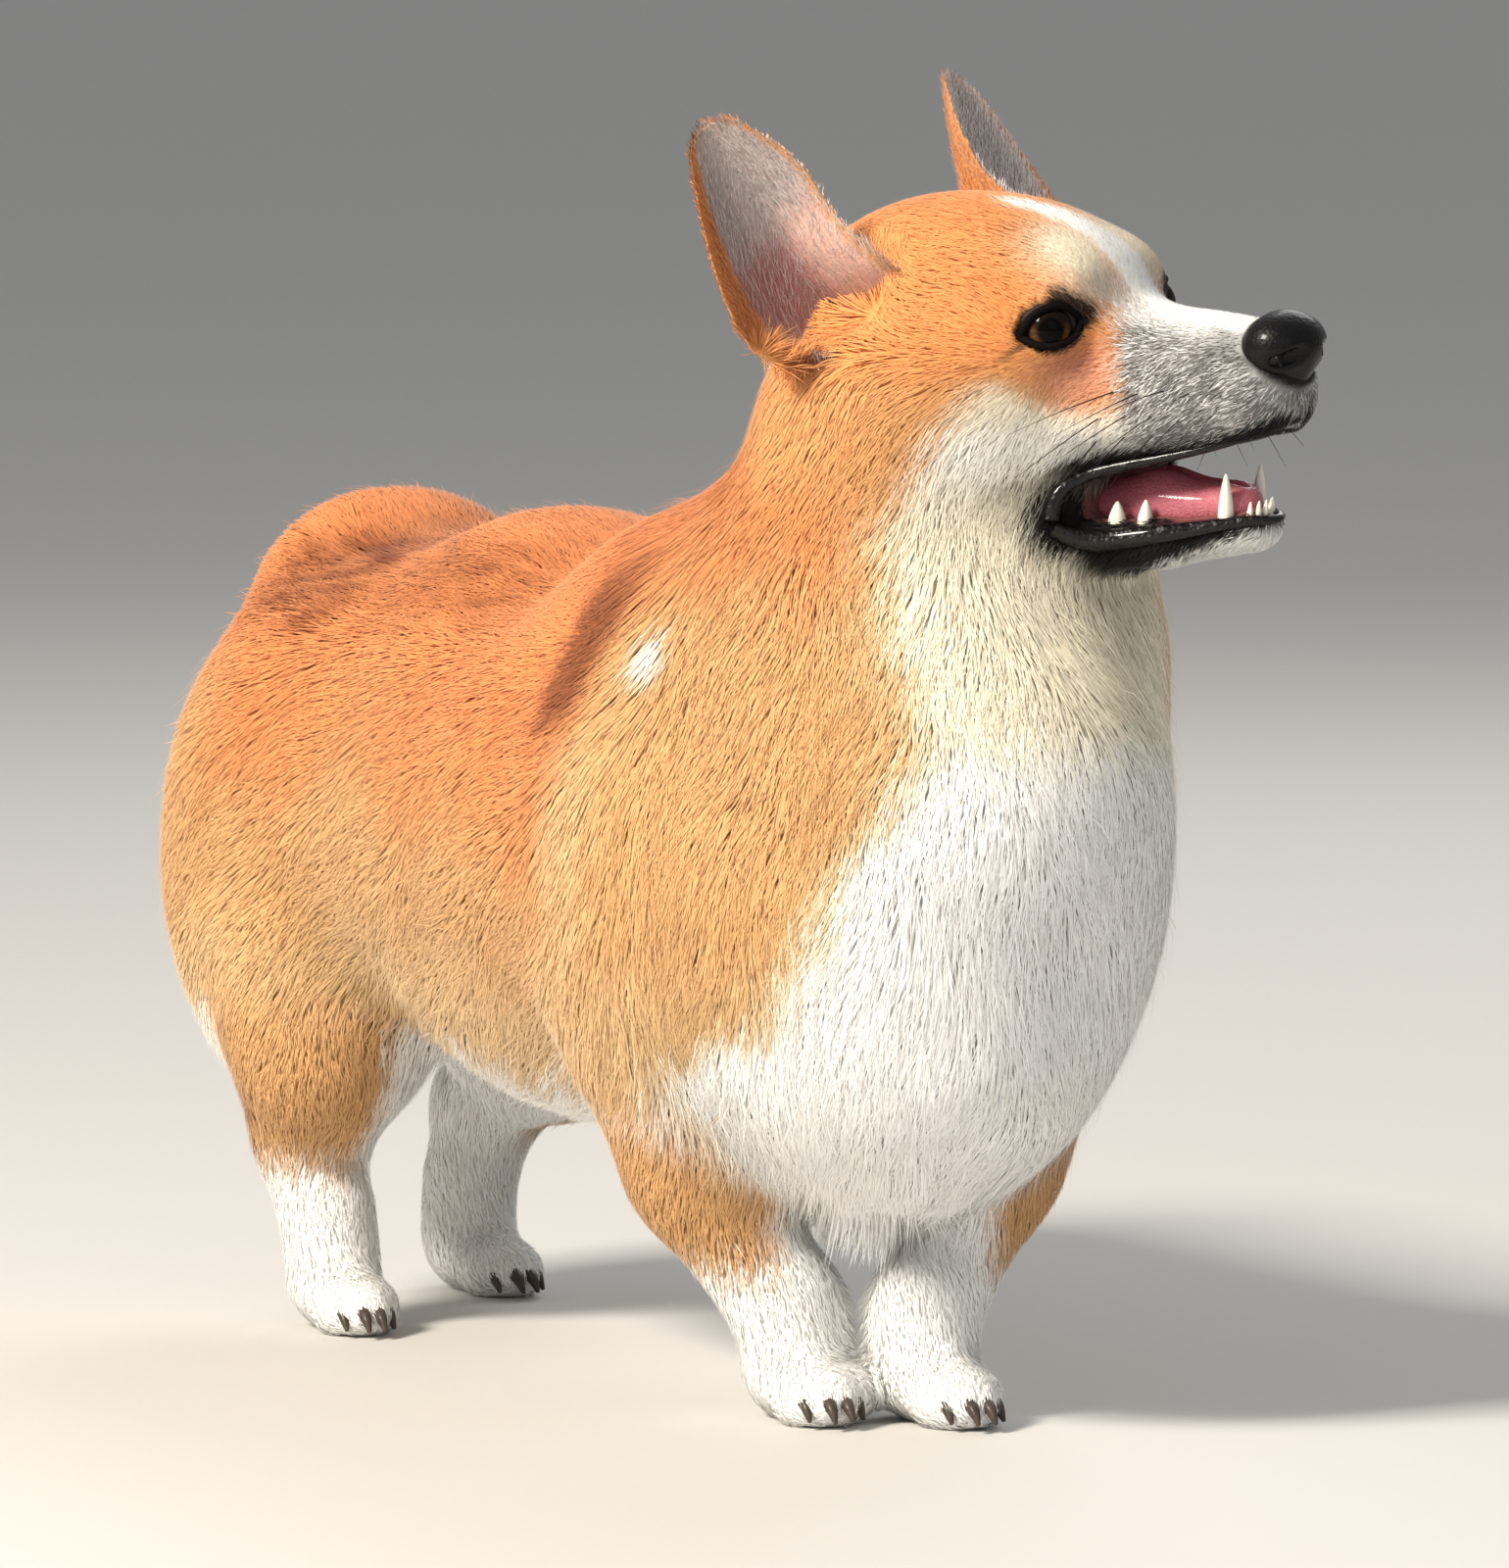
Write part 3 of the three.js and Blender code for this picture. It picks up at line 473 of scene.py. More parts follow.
@dataclass(frozen=True)
class Placing:
    """How far the modelling frame, in millimetres, lies from the CAD frame."""

    shift: tuple[float, float, float]

    @classmethod
    def from_frame(cls, anatomy: Anatomy) -> "Placing":
        """Reads the shift from where the right eye's node is."""
        low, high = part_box("eye_right")
        middle = np.array((low + high) / 2) / MM
        eye = anatomy.head.out(anatomy.eyes[0].centre)
        delta = middle - eye
        return cls((float(delta[0]), float(delta[1]), 0.0))

    def metres(self, spots: Array) -> Array:
        """Modelling millimetres as metres of the CAD frame."""
        return (np.asarray(spots, float) + np.array(self.shift)) * MM

    def millimetres(self, spots: Array) -> Array:
        """Metres of the CAD frame as modelling millimetres."""
        return spots / MM - np.array(self.shift)


# Meshes


def values_of(rows: bpy.types.bpy_prop_collection, name: str, width: int = 1, kind: type = float) -> Array:
    """One property of all the items of a Blender collection.

    Args:
        rows: the collection.
        name: the property.
        width: how many numbers each item gives.
        kind: the numbers' type.

    Returns:
        An array with one row an item, or flat where the width is 1.
    """
    flat = np.empty(len(rows) * width, kind)
    rows.foreach_get(name, flat)
    return flat.reshape(-1, width) if width > 1 else flat


def spots_of(mesh: bpy.types.Mesh) -> Array:
    """A mesh's vertices as an array."""
    return values_of(mesh.vertices, "co", 3)


def triangles_of(mesh: bpy.types.Mesh, name: str = "vertices") -> Array:
    """The numbers of the vertices, or of the loops, of a mesh's triangles, three a row."""
    mesh.calc_loop_triangles()
    return values_of(mesh.loop_triangles, name, 3, int)


def put_spots(mesh: bpy.types.Mesh, spots: Array) -> None:
    """Moves a mesh's vertices to the spots."""
    mesh.vertices.foreach_set("co", np.asarray(spots, np.float32).ravel())
    mesh.update()


def linked(name: str, mesh: bpy.types.Mesh) -> Object:
    """A new object of the mesh in the scene."""
    thing = bpy.data.objects.new(name, mesh)
    bpy.context.scene.collection.objects.link(thing)
    return thing


def from_bmesh(name: str, bm: bmesh.types.BMesh) -> Object:
    """A new object with the bmesh, which is freed."""
    mesh = bpy.data.meshes.new(name)
    bm.to_mesh(mesh)
    bm.free()
    return linked(name, mesh)


def applied(thing: Object) -> Object:
    """Applies an object's modifiers, or turns a curve to a mesh, and gives the object of the result."""
    graph = bpy.context.evaluated_depsgraph_get()
    mesh = bpy.data.meshes.new_from_object(thing.evaluated_get(graph))
    name = thing.name
    bpy.data.objects.remove(thing)
    mesh.name = name
    return linked(name, mesh)


def shade_smooth(mesh: bpy.types.Mesh) -> None:
    """Sets every face smooth."""
    mesh.polygons.foreach_set("use_smooth", [True] * len(mesh.polygons))


def triangles_mesh(name: str, spots: Array, faces: Array) -> bpy.types.Mesh:
    """A mesh of the spots and of triangles given by their numbers."""
    mesh = bpy.data.meshes.new(name)
    mesh.vertices.add(len(spots))
    mesh.vertices.foreach_set("co", np.asarray(spots, np.float32).ravel())
    mesh.loops.add(faces.size)
    mesh.loops.foreach_set("vertex_index", faces.astype(np.int32).ravel())
    mesh.polygons.add(len(faces))
    mesh.polygons.foreach_set("loop_start", np.arange(0, faces.size, 3, dtype=np.int32))
    mesh.update(calc_edges=True)
    return mesh


def ball_shape(fine: int) -> tuple[Array, Array]:
    """Vertices and triangles of a round ball of radius 1."""
    bm = bmesh.new()
    bmesh.ops.create_icosphere(bm, subdivisions=fine, radius=1)
    spots = np.array([v.co[:] for v in bm.verts])
    faces = np.array([[v.index for v in f.verts] for f in bm.faces])
    bm.free()
    return spots, faces


def round_ball(name: str, around: int, upright: int) -> Object:
    """A ball of radius 1 with its poles on z, whose faces are put in an order that is the same in each run.

    Args:
        name: the object's name.
        around: how many faces go round it.
        upright: how many go from pole to pole.

    Returns:
        The ball as a mesh object.
    """
    bm = bmesh.new()
    bmesh.ops.create_uvsphere(bm, u_segments=around, v_segments=upright, radius=1)
    bm.verts.index_update()
    spots = [v.co[:] for v in bm.verts]
    faces = []
    for face in bm.faces:
        numbers = [v.index for v in face.verts]
        first = numbers.index(min(numbers))
        faces.append(numbers[first:] + numbers[:first])
    bm.free()
    mesh = bpy.data.meshes.new(name)
    mesh.from_pydata(spots, [], sorted(faces))
    return linked(name, mesh)


def beads_mesh(name: str, forms: Iterable[Form], voxel: float) -> Object:
    """Fills forms with balls and wraps them in one closed skin.

    Args:
        name: the object's name.
        forms: the forms to wrap.
        voxel: the skin's rough face size in millimetres.

    Returns:
        The object, in millimetres.
    """
    balls = {fine: ball_shape(fine) for fine in (3, 4)}
    spots: list[Array] = []
    faces: list[Array] = []
    count = 0
    for form in forms:
        for centre, radii in (bead for mass in form.masses for bead in mass.beads()):
            ball, corners = balls[4 if max(radii) > 30 else 3]
            place = np.array(form.place @ Matrix.Translation(centre) @ Matrix.Diagonal((*radii, 1)))
            spots.append(ball @ place[:3, :3].T + place[:3, 3])
            faces.append(corners + count)
            count += len(ball)
    thing = linked(name, triangles_mesh(name, np.concatenate(spots), np.concatenate(faces)))
    wrap = thing.modifiers.new("wrap", "REMESH")
    wrap.mode = "VOXEL"
    wrap.voxel_size = voxel
    return applied(thing)


def eased(mesh: bpy.types.Mesh, spots: Array, rounds: int, share: float = 0.5) -> Array:
    """Moves each vertex towards the middle of its neighbours.

    Args:
        mesh: gives the edges.
        spots: the vertices' places.
        rounds: how many times.
        share: how far each goes, from 0 to 1.

    Returns:
        The new places.
    """
    a, b = values_of(mesh.edges, "vertices", 2, int).T
    size = len(spots)
    count = np.maximum(np.bincount(a, minlength=size) + np.bincount(b, minlength=size), 1)
    for _ in range(rounds):
        sums = [np.bincount(a, spots[b, i], size) + np.bincount(b, spots[a, i], size) for i in range(3)]
        spots = spots + (np.stack(sums, axis=1) / count[:, None] - spots) * share
    return spots


def settle(
    spots: Array, slope: SlopeField, level: DistanceField | float, rounds: int, most: float = 3.0
) -> Array:
    """Moves spots along a field's gradient to a level.

    Args:
        spots: where they start.
        slope: gives distance and gradient.
        level: the distance they go to, a number or a function of the spots.
        rounds: how many steps.
        most: the longest step in millimetres.

    Returns:
        Where they end.
    """
    for _ in range(rounds):
        d, g = slope(spots)
        wanted = level(spots) if callable(level) else level
        steep = np.maximum(np.linalg.norm(g, axis=1), LEAST_STEEP)
        move = np.clip((d - wanted) / steep, -most, most)
        spots = spots - g / steep[:, None] * move[:, None]
    return spots


def colour_mesh(mesh: bpy.types.Mesh, name: str, colours: Array) -> None:
    """Writes a colour for each vertex."""
    layer = mesh.color_attributes.get(name) or mesh.color_attributes.new(name, "FLOAT_COLOR", "POINT")
    flat = np.ones((len(colours), 4), np.float32)
    flat[:, :3] = colours
    layer.data.foreach_set("color", flat.ravel())


def tube(name: str, spots: Sequence[Spot], radii: Sequence[float], turns: int = 12) -> Object:
    """A round, closed tube along a curved line.

    Args:
        name: the object's name.
        spots: the line's points in millimetres.
        radii: the radius at each point.
        turns: how many faces go round.

    Returns:
        The tube as a mesh object, in millimetres.
    """
    data = bpy.data.curves.new(name, "CURVE")
    data.dimensions = "3D"
    data.bevel_depth = 1.0
    data.bevel_resolution = max(0, turns // 4 - 1)
    data.use_fill_caps = True
    data.resolution_u = 4
    line = data.splines.new("NURBS")
    line.points.add(len(spots) - 1)
    for point, spot, radius in zip(line.points, spots, radii):
        point.co = (*[float(x) for x in spot], 1)
        point.radius = float(radius)
    line.order_u = min(4, len(spots))
    line.use_endpoint_u = True
    thing = bpy.data.objects.new(name, data)
    bpy.context.scene.collection.objects.link(thing)
    made = applied(thing)
    bpy.data.curves.remove(data)
    return made


def joined(name: str, things: Sequence[Object]) -> Object:
    """Joins mesh objects into one."""
    bm = bmesh.new()
    for thing in things:
        bm.from_mesh(thing.data)
        bpy.data.objects.remove(thing)
    return from_bmesh(name, bm)


# Coat zones


@dataclass(frozen=True)
class Zone:
    """How the coat is on one part of the body, in millimetres.

    depth is how far the skin lies under the coat's mean surface, stand how far tips rise over that surface,
    density how many tufts grow on a square centimetre, and free how far tips leave the body and hang.
    """

    length: float
    width: float
    depth: float
    stand: float
    density: float
    clump: float = 0.4
    free: float = 0.0


ZONES = {
    "back": Zone(22, 0.72, 4.5, 0.8, 50, 0.1),
    "flank": Zone(25, 0.76, 4.5, 1.2, 46, 0.12),
    "rump": Zone(26, 0.76, 4.5, 1.6, 46, 0.12),
    "breeches": Zone(30, 0.78, 5, 2, 42, 0.14, 0.2),
    "belly": Zone(32, 0.9, 3.5, 5, 26, 0.3, 0.5),
    "chest": Zone(32, 0.72, 2.5, 1.8, 52, 0.12, 0.06),
    "apron": Zone(40, 0.8, 2.5, 3.5, 46, 0.28, 0.45),
    "neck": Zone(26, 0.66, 2.5, 1.5, 58, 0.08, 0.02),
    "leg": Zone(10, 0.55, 2.0, 0.8, 62, 0.12),
    "paw": Zone(5.5, 0.45, 1.0, 0.4, 95, 0.1),
    "tail": Zone(18, 0.8, 3, 4, 40, 0.2),
    "crown": Zone(8, 0.38, 1.8, 0.5, 125, 0.04),
    "cheek": Zone(12, 0.42, 2.4, 0.9, 105, 0.05, 0.01),
    "face": Zone(4.2, 0.28, 0.8, 0.2, 180, 0.03),
    "throat": Zone(20, 0.6, 2.5, 1.8, 64, 0.12, 0.08),
    "chin": Zone(5.5, 0.34, 0.7, 0.7, 140, 0.12, 0.1),
    "ear_root": Zone(15, 0.46, 2.2, 3.0, 90, 0.16, 0.05),
}


def shared_out(whole: Array, parts: dict[str, Array], last: str) -> dict[str, Array]:
    """Gives each part its share of what the parts before it left.

    Args:
        whole: what is given out.
        parts: the shares, from 0 to 1, by name.
        last: the name that is given what is left.

    Returns:
        What each name is given.
    """
    given = {}
    for name, share in parts.items():
        given[name] = whole * share
        whole = whole * (1 - share)
    given[last] = whole
    return given


def directions(count: int, *parts: Array | float) -> Array:
    """Vectors of length 1, one a row, from three parts that are each a number or an array."""
    return unit(np.stack([np.zeros(count) + part for part in parts], axis=1))


@dataclass
class Pelt:
    """The coat's zones, lie and markings as functions of place."""

    anatomy: Anatomy

    def weights(self, spots: Array) -> dict[str, Array]:
        """How much of each zone is at each spot, adding up to 1."""
        parts = self.anatomy.parts(spots)
        least = np.min(list(parts.values()), axis=0)
        w = {n: np.exp(-np.clip(d - least, 0, 60) / 7) for n, d in parts.items()}
        total = sum(w.values())
        w = {n: v / total for n, v in w.items()}
        x, y, z = spots.T
        hx, hy, hz = self.anatomy.head.local(spots).T
        collar = (spots - np.array([131, 10, 241])) @ unit(np.array([0.5, 0.12, 0.86]))
        front = ramp(x, 105, 165)
        trunk = {
            "apron": front * ramp(z, 122, 98) * ramp(np.abs(y - 12), 52, 36),
            "neck": ramp(collar, -12, 25),
            "chest": front * ramp(collar, 25, -5) * ramp(z, 60, 110),
            "belly": ramp(z, 150, 112) * (1 - front),
            "breeches": ramp(x, -190, -235) * ramp(z, 235, 195),
            "back": ramp(z, 225, 262),
            "rump": ramp(x, -90, -150),
        }
        skull = {
            "ear_root": ramp(np.hypot(hx + 33, hz + 2), 44, 28) * ramp(np.abs(hy), 30, 38),
            "throat": ramp(hz, -62, -84),
            "face": ramp(hx, 18, 40) * ramp(hz, -72, -60),
            "cheek": ramp(hz, 4, -26) * ramp(hx, 44, 18),
        }
        zones = dict.fromkeys(ZONES, np.zeros(len(spots)))
        zones.update(shared_out(w["torso"] + w["neck"], trunk, "flank"))
        zones.update(shared_out(w["head"], skull, "crown"))
        back_jaw = ramp(hx, 40, 12)
        zones["throat"] = zones["throat"] + w["jaw"] * back_jaw
        zones["chin"] = w["jaw"] * (1 - back_jaw)
        below = ramp(z, 150, 105)
        zones["leg"] = w["leg"] * below
        zones["flank"] = zones["flank"] + w["leg"] * (1 - below)
        zones["paw"] = w["paw"]
        zones["tail"] = w["tail"]
        return zones

    def value(self, zones: dict[str, Array], name: str) -> Array:
        """One of the zones' numbers, mixed by the weights."""
        return sum(w * getattr(ZONES[n], name) for n, w in zones.items())

    def skin_level(self, spots: Array) -> Array:
        """The distance at which the skin lies under the coat's mean surface, negative as it is inside."""
        return -self.value(self.weights(spots), "depth")

    def lie(self, spots: Array, zones: dict[str, Array]) -> Array:
        """Which way the coat lies at each spot."""
        x, y, z = spots.T
        hx, hy, hz = self.anatomy.head.local(spots).T
        side = np.tanh((y - 8) / 20)
        head_side = np.tanh(hy / 8)
        ways = {
            "back": (-1, 0, -0.12),
            "flank": (-0.85, 0, -0.55),
            "rump": (-0.75, 0, -0.65),
            "breeches": (-0.35, 0, -1),
            "belly": (-0.6, 0.15 * side, -0.6),
            "chest": (-0.1, 0.3 * side, -1),
            "apron": (-0.1, 0.1 * side, -1),
            "neck": (-0.1 - 0.008 * np.maximum(165 - x, 0), 0.15 * side, -1),
            "leg": (-0.12, 0, -1),
            "paw": (0.8, 0, -0.6),
            "tail": (-1, 0, -0.4),
        }
        head_ways = {
            "crown": (-1, 0.25 * head_side, ramp(hx, -10, 30) * 0.5 - 0.1),
            "cheek": (-0.72, 0.2 * head_side, -0.7),
            "face": (-1, 0.35 * head_side * ramp(hz, 5, -15), 0.25 - 0.95 * ramp(hz, 2, -26)),
            "throat": (-0.35, 0, -1),
            "chin": (-0.8, 0.1 * head_side, -0.6),
            "ear_root": (-0.35, 0.3 * head_side, -0.7 + 1.6 * ramp(hz, -18, -2)),
        }
        count = len(spots)
        turn = self.anatomy.head.way
        total = sum(zones[n][:, None] * directions(count, *v) for n, v in ways.items())
        total = total + sum(zones[n][:, None] * turn(directions(count, *v)) for n, v in head_ways.items())
        stir = np.stack(
            [
                np.sin(x / 9.1 + y / 13.7 + 1.1),
                np.sin(y / 8.3 + z / 12.1 + 0.4),
                np.sin(z / 10.3 - x / 14.9),
            ],
            axis=1,
        )
        return unit(unit(total) + 0.16 * stir)

    def bare(self, spots: Array) -> Array:
        """How bare the skin is at each spot: 1 in the mouth, on the nose and on the lids."""
        q = self.anatomy.head.local(spots)
        hx, hy, hz = q.T
        near = (np.abs(hy) < 40) & (hx > 12) & (hx < 130) & (hz > -100) & (hz < 30)
        mouth = ramp(self.anatomy.palate.distance(q), 2.5, 1.0) * (hx > 28)
        along = [38, 56, 75, 91, 99.5, 102.5]
        lip = np.interp(hx, along, [-73, -70, -68.5, -67, -67, -67.5])
        wide = np.interp(hx, along, [23.5, 18.5, 14.5, 10.5, 6.5, 1])
        jaw = np.clip((hz - lip + 2.5) / 2, 0, 1)
        jaw = jaw * (np.abs(hy) < wide) * (hz < -55) * (hx > 34)
        tip = (q - np.array([109, 0, -13])) / np.array([1, 1.15, 1])
        nose = ramp(np.linalg.norm(tip, axis=1), 15, 13)
        lids = np.zeros(len(spots))
        for eye in self.anatomy.eyes:
            e = eye.local(q)
            close = (e[:, 2] > 0) & (np.linalg.norm(e, axis=1) < 17)
            lids = np.maximum(lids, np.where(close, ramp(eye.slit(e), 2.2, 1.0), 0))
        face = np.where(near, np.maximum.reduce([mouth, jaw, nose, lids]), lids)
        ear_hollow = ramp(np.hypot(hx + 35, hz - 12), 12, 10) * ramp(np.abs(hy), 41, 44)
        return np.maximum(face, ear_hollow)

    def markings(self, spots: Array, rough: Array | None = None) -> Array:
        """The coat's colour at each spot, as linear values.

        Args:
            spots: points of the body's frame.
            rough: a draw from -1 to 1 for each, which frays the borders; none leaves them smooth.

        Returns:
            Colours, one row each.
        """
        fray = np.zeros(len(spots)) if rough is None else rough
        parts = self.anatomy.parts(spots)
        head = parts["head"]
        trunk = np.minimum(parts["torso"], parts["neck"])
        limbs = np.minimum(parts["leg"], parts["paw"])
        x, _, z = spots.T
        q = self.anatomy.head.local(spots)
        hx, hy, hz = q.T
        corner = ramp(np.hypot(hx - 39, (hz + 67) * 0.7) + 2.5 * fray, 10, 6)
        corner = corner * (np.abs(hy) < 60) * (np.abs(hz + 66) < 30)
        return layered(
            self.body_marks(spots, fray),
            (self.face_marks(q, fray), ramp(head - trunk, 9, -9) * (head < 60)),
            (self.jaw_marks(q, fray), ramp(parts["jaw"] - np.minimum(head, trunk), 5, -5)),
            (self.leg_marks(spots, fray), ramp(limbs - trunk, 10, -10) * ramp(z, 140, 105)),
            (
                layered(plain(spots, "red"), ("croup", ramp(x, -245, -262))),
                ramp(parts["tail"] - np.minimum(trunk, limbs), 6, -6),
            ),
            ("black", corner),
        )

    def body_marks(self, spots: Array, fray: Array) -> Array:
        """Red back, golden sides and shoulders, cream below, and the white bib; dark red over the back's
        hollow, partly painted shade, and painted shade in the shoulder's crease.
        """
        x, y, z = spots.T
        patch = mottle(spots, 26)
        zf = z + 8 * fray + 7 * patch
        waves = 9 * np.sin(x / 37.0) + 6 * np.sin(x / 17.0 + y / 23.0)
        behind = ramp(x, 150, 100)
        front = ramp(x + 6 * fray, 112, 134)
        streak = 0.6 + 0.4 * mottle(spots * np.array([0.35, 1, 1]), 8)
        # The croup and back marks lay dark red over the back's hollow: partly the coat's own darker streaks,
        # partly painted shade of the hollow. Both fade towards the dog's left side.
        shade = 1 - 0.6 * ramp(y, 0, 40)
        croup = 1.1 * np.minimum(1.6 * bump(x, -165, 60), 1) * ramp(zf, 240, 258) * ramp(z, 284, 270)
        back = 0.7 * np.minimum(1.6 * bump(x, -60, 90), 1) * ramp(zf, 246, 260) * ramp(z, 286, 272)
        # Painted shade: a dark red band in the crease at the shoulder, stronger on the dog's right side.
        crease_shade = 0.8 * np.minimum(1.5 * bump(x, 106, 26), 1) * ramp(zf, 214, 236)
        crease_shade = crease_shade * np.maximum(ramp(-y, 46, 70), 0.35 * ramp(y, 50, 75))
        crest = np.interp(z, [100, 165, 213, 226, 255], [62, 134, 131, 126, 126])
        heights = [60, 100, 112, 122, 136, 154, 177, 196, 205, 230, 248, 267, 292, 330]
        near = np.interp(z, heights, [-40, -56, -72, -70, -54, -50, -43, -32, -24, -14, -14, -14, -8, 0])
        middle = np.interp(z, [60, 136, 205, 292, 330], [12, 16, 34, 44, 48])
        inside = np.minimum(y - near, 2 * middle - near - y) + 6 * fray + 5 * patch
        chest = ramp(x, 135, 165)
        mark = np.linalg.norm(spots - np.array([147, -75, 255]), axis=1)
        return layered(
            plain(spots, "red"),
            ("amber", ramp(zf + waves, 240, 205) * behind),
            ("gold", ramp(zf + waves, 208, 172) * behind),
            ("gold", ramp(x, -150, -215) * ramp(zf, 245, 215)),
            ("amber", 0.6 * bump(x, -90, 70) * bump(zf, 232, 22)),
            # Dark red over the back's hollow: partly the coat's darker streaks, partly painted shade.
            ("croup", croup * streak * shade),
            ("croup", back * streak * shade),
            ("gold", front * ramp(zf, 300, 262)),
            ("amber", 0.7 * front * ramp(zf, 262, 300)),
            # Painted shade in the shoulder's crease.
            ("croup", crease_shade),
            ("wheat", ramp(zf + 0.6 * waves, 162, 118)),
            ("wheat", 0.6 * ramp(np.abs(x - crest + 5 * fray), 22, 4) * ramp(z, 240, 205)),
            ("white", ramp(zf, 112, 96)),
            ("wheat", ramp(inside, -18, -4) * chest),
            ("cream", ramp(inside, -8, 2) * chest),
            ("white", ramp(inside, -4, 6) * chest * ramp(z + 5 * fray, 236, 212)),
            ("white", 0.85 * ramp(mark + 3 * fray, 11, 5)),
        )

    def face_marks(self, q: Array, fray: Array) -> Array:
        """Orange skull, cream cheeks, the white blaze and the grizzled muzzle, in the head's frame."""
        hx, hy, hz = q.T
        fringe = 3 * fray
        edge = np.interp(hz, [-95, -60, -34, -20, -8], [2, 8, 16, 26, 44])
        past = hx - edge + 5 * fray
        low = ramp(past, -10, 5)
        start = np.interp(hx, [10, 24, 40, 52], [-8, -14, -26, -30])
        brow = bump(hx + 2 * fray, 38, 24) * bump(np.abs(hy), 15, 22) * ramp(hz, 0, 8)
        pink = np.linalg.norm((q - np.array([47, 0, -20])) * np.array([1, 0, 1]), axis=1)
        snout = ramp(hx + 0.25 * hz + fringe, 47, 58)
        grey = 0.1 + 0.9 * ramp(fray + 0.35 * mottle(q, 7), -0.3, 1.25)
        bridge = ramp(hz + fringe + 0.2 * (hx - 70), -9, -3)
        wide = np.interp(hx, [-10, 9, 30, 45, 57, 70, 100], [0, 4.5, 6, 8, 8, 8, 9])
        middle = np.interp(hx, [9, 30, 45, 57, 70], [-3, 1, 4, 4, 0])
        blaze = ramp(np.abs(hy + 2 * fray - middle) - wide, 2, -1.5) * ramp(hx, -4, 6) * ramp(hz, -14, -6)
        rim = np.interp(hx, [26, 31, 38, 54, 72, 92, 106, 112], [-66, -61, -55, -50, -47, -43, -38, -36])
        deep = np.interp(hx, [30, 60, 80, 110], [6.5, 5, 3, 2.5])
        lip = ramp(hz - rim - deep + 1.5 * fray, 1.5, -1.0) * ramp(hx, 24, 32)
        corner = ramp(np.hypot(hx - 31, (hz + 67) * 0.8) + 2 * fray, 15, 9)
        return layered(
            plain(q, "orange"),
            ("gold", 0.5 * ramp(hz, -5, -30) * ramp(hx, 25, -5)),
            ("gold", 0.5 * ramp(hx, 0, 25) * ramp(hz, 12, 26)),
            ("gold", 0.6 * ramp(past, -30, -8) * ramp(hz, -5, -25)),
            ("cream", low * ramp(hz - start + fringe, 2, -9)),
            ("white", 0.8 * low * ramp(hz, -26, -44)),
            ("cream", np.minimum(1.25 * brow, 0.95)),
            ("flush", 0.5 * ramp(pink + fringe, 15, 4) * ramp(np.abs(hy), 15, 22)),
            (layered(plain(q, "slate"), ("white", grey)), snout),
            (TONES["white"] * 0.86, 0.85 * snout * bridge),
            ("slate", 0.5 * ramp(hx + fringe, 84, 94) * ramp(hz, -20, -10)),
            ("slate", 0.55 * ramp(hz, -32, -44) * ramp(hx, 32, 50)),
            ("white", blaze),
            ("black", np.maximum(lip, corner) * (np.abs(hy) > 4)),
            *[("black", self.eye_marks(eye, q, fray)) for eye in self.anatomy.eyes],
        )

    @staticmethod
    def eye_marks(eye: Eye, q: Array, fray: Array) -> Array:
        """How black the coat is round an eye: the ring, a tuft at its outer end and the groove before it."""
        e = eye.local(q)
        across, up, _ = e.T
        front = (e[:, 2] > -2) & (np.linalg.norm(e, axis=1) < eye.reach)
        ring = ramp(eye.slit(e) + 0.9 * fray, 4.6, 2.6)
        along = np.clip(((across + 3.5) * -9.5 + (up - 9.5) * -7.0) / 139, 0, 1)
        tuft = np.hypot(across + 3.5 + 9.5 * along, up - 9.5 + 7.0 * along)
        tuft = ramp(tuft + 1.5 * fray, 5.5, 1.5)
        groove = ramp(np.abs(up + 1 + 0.45 * (across - 9)), 1.8, 0.4)
        groove = groove * ramp(across, 8, 11) * ramp(across, 24, 14)
        return np.where(front, np.maximum.reduce([ring, 0.95 * tuft, 0.7 * groove]), 0)

    @staticmethod
    def jaw_marks(q: Array, fray: Array) -> Array:
        """White chin and throat, black beside the mouth's corner, in the head's frame."""
        hx, _, hz = q.T
        edge = np.interp(hx, [20, 50, 66, 80, 96, 104], [-93, -90, -83, -78, -73, -71])
        return layered(
            plain(q, "white") * 0.92,
            ("slate", 0.4 * ramp(fray, 0.2, 1.0) * ramp(hx, 40, 60)),
            ("black", ramp(hz - edge + 2 * fray, -1.5, 1.5) * ramp(hx, 12, 24)),
        )

    @staticmethod
    def leg_marks(spots: Array, fray: Array) -> Array:
        """White legs with golden outer sides above."""
        x, y, z = spots.T
        zf = z + 7 * fray
        hind = ramp(zf, 46, 66) * ramp(np.abs(y) + 4 * fray, 42, 52)
        right = ramp(-y + 5 * fray, 18, 34) * ramp(zf, 40, 56)
        left = ramp(y + 5 * fray, 38, 50) * ramp(zf, 42, 56)
        golden = np.where(x < 0, hind, np.where(y > 15, left, right))
        return layered(plain(spots, "white"), ("gold", golden))


def over(base: Array, colour: Array, share: Array) -> Array:
    """Lays a colour, or one for each row, over the base by its share."""
    s = np.clip(share, 0, 1)[:, None]
    return base * (1 - s) + colour * s


def plain(spots: Array, tone: str) -> Array:
    """One of the coat's tones for every spot."""
    return np.ones((len(spots), 1)) * TONES[tone]


def layered(base: Array, *layers: tuple[str | Array, Array]) -> Array:
    """Lays colours over the base one after another, each a tone's name or an array, by its share."""
    for colour, share in layers:
        base = over(base, TONES[colour] if isinstance(colour, str) else colour, share)
    return base


TONES = {
    name: linear(code)
    for name, code in {
        "red": "#D58A55",
        "orange": "#E8A264",
        "amber": "#D2925C",
        "gold": "#D2A672",
        "wheat": "#DDBC8C",
        "cream": "#F0E8D2",
        "white": "#FBFAF6",
        "croup": "#74391A",
        "slate": "#4E4B49",
        "black": "#0E0C0B",
        "flush": "#DE9E90",
    }.items()
}


# Materials


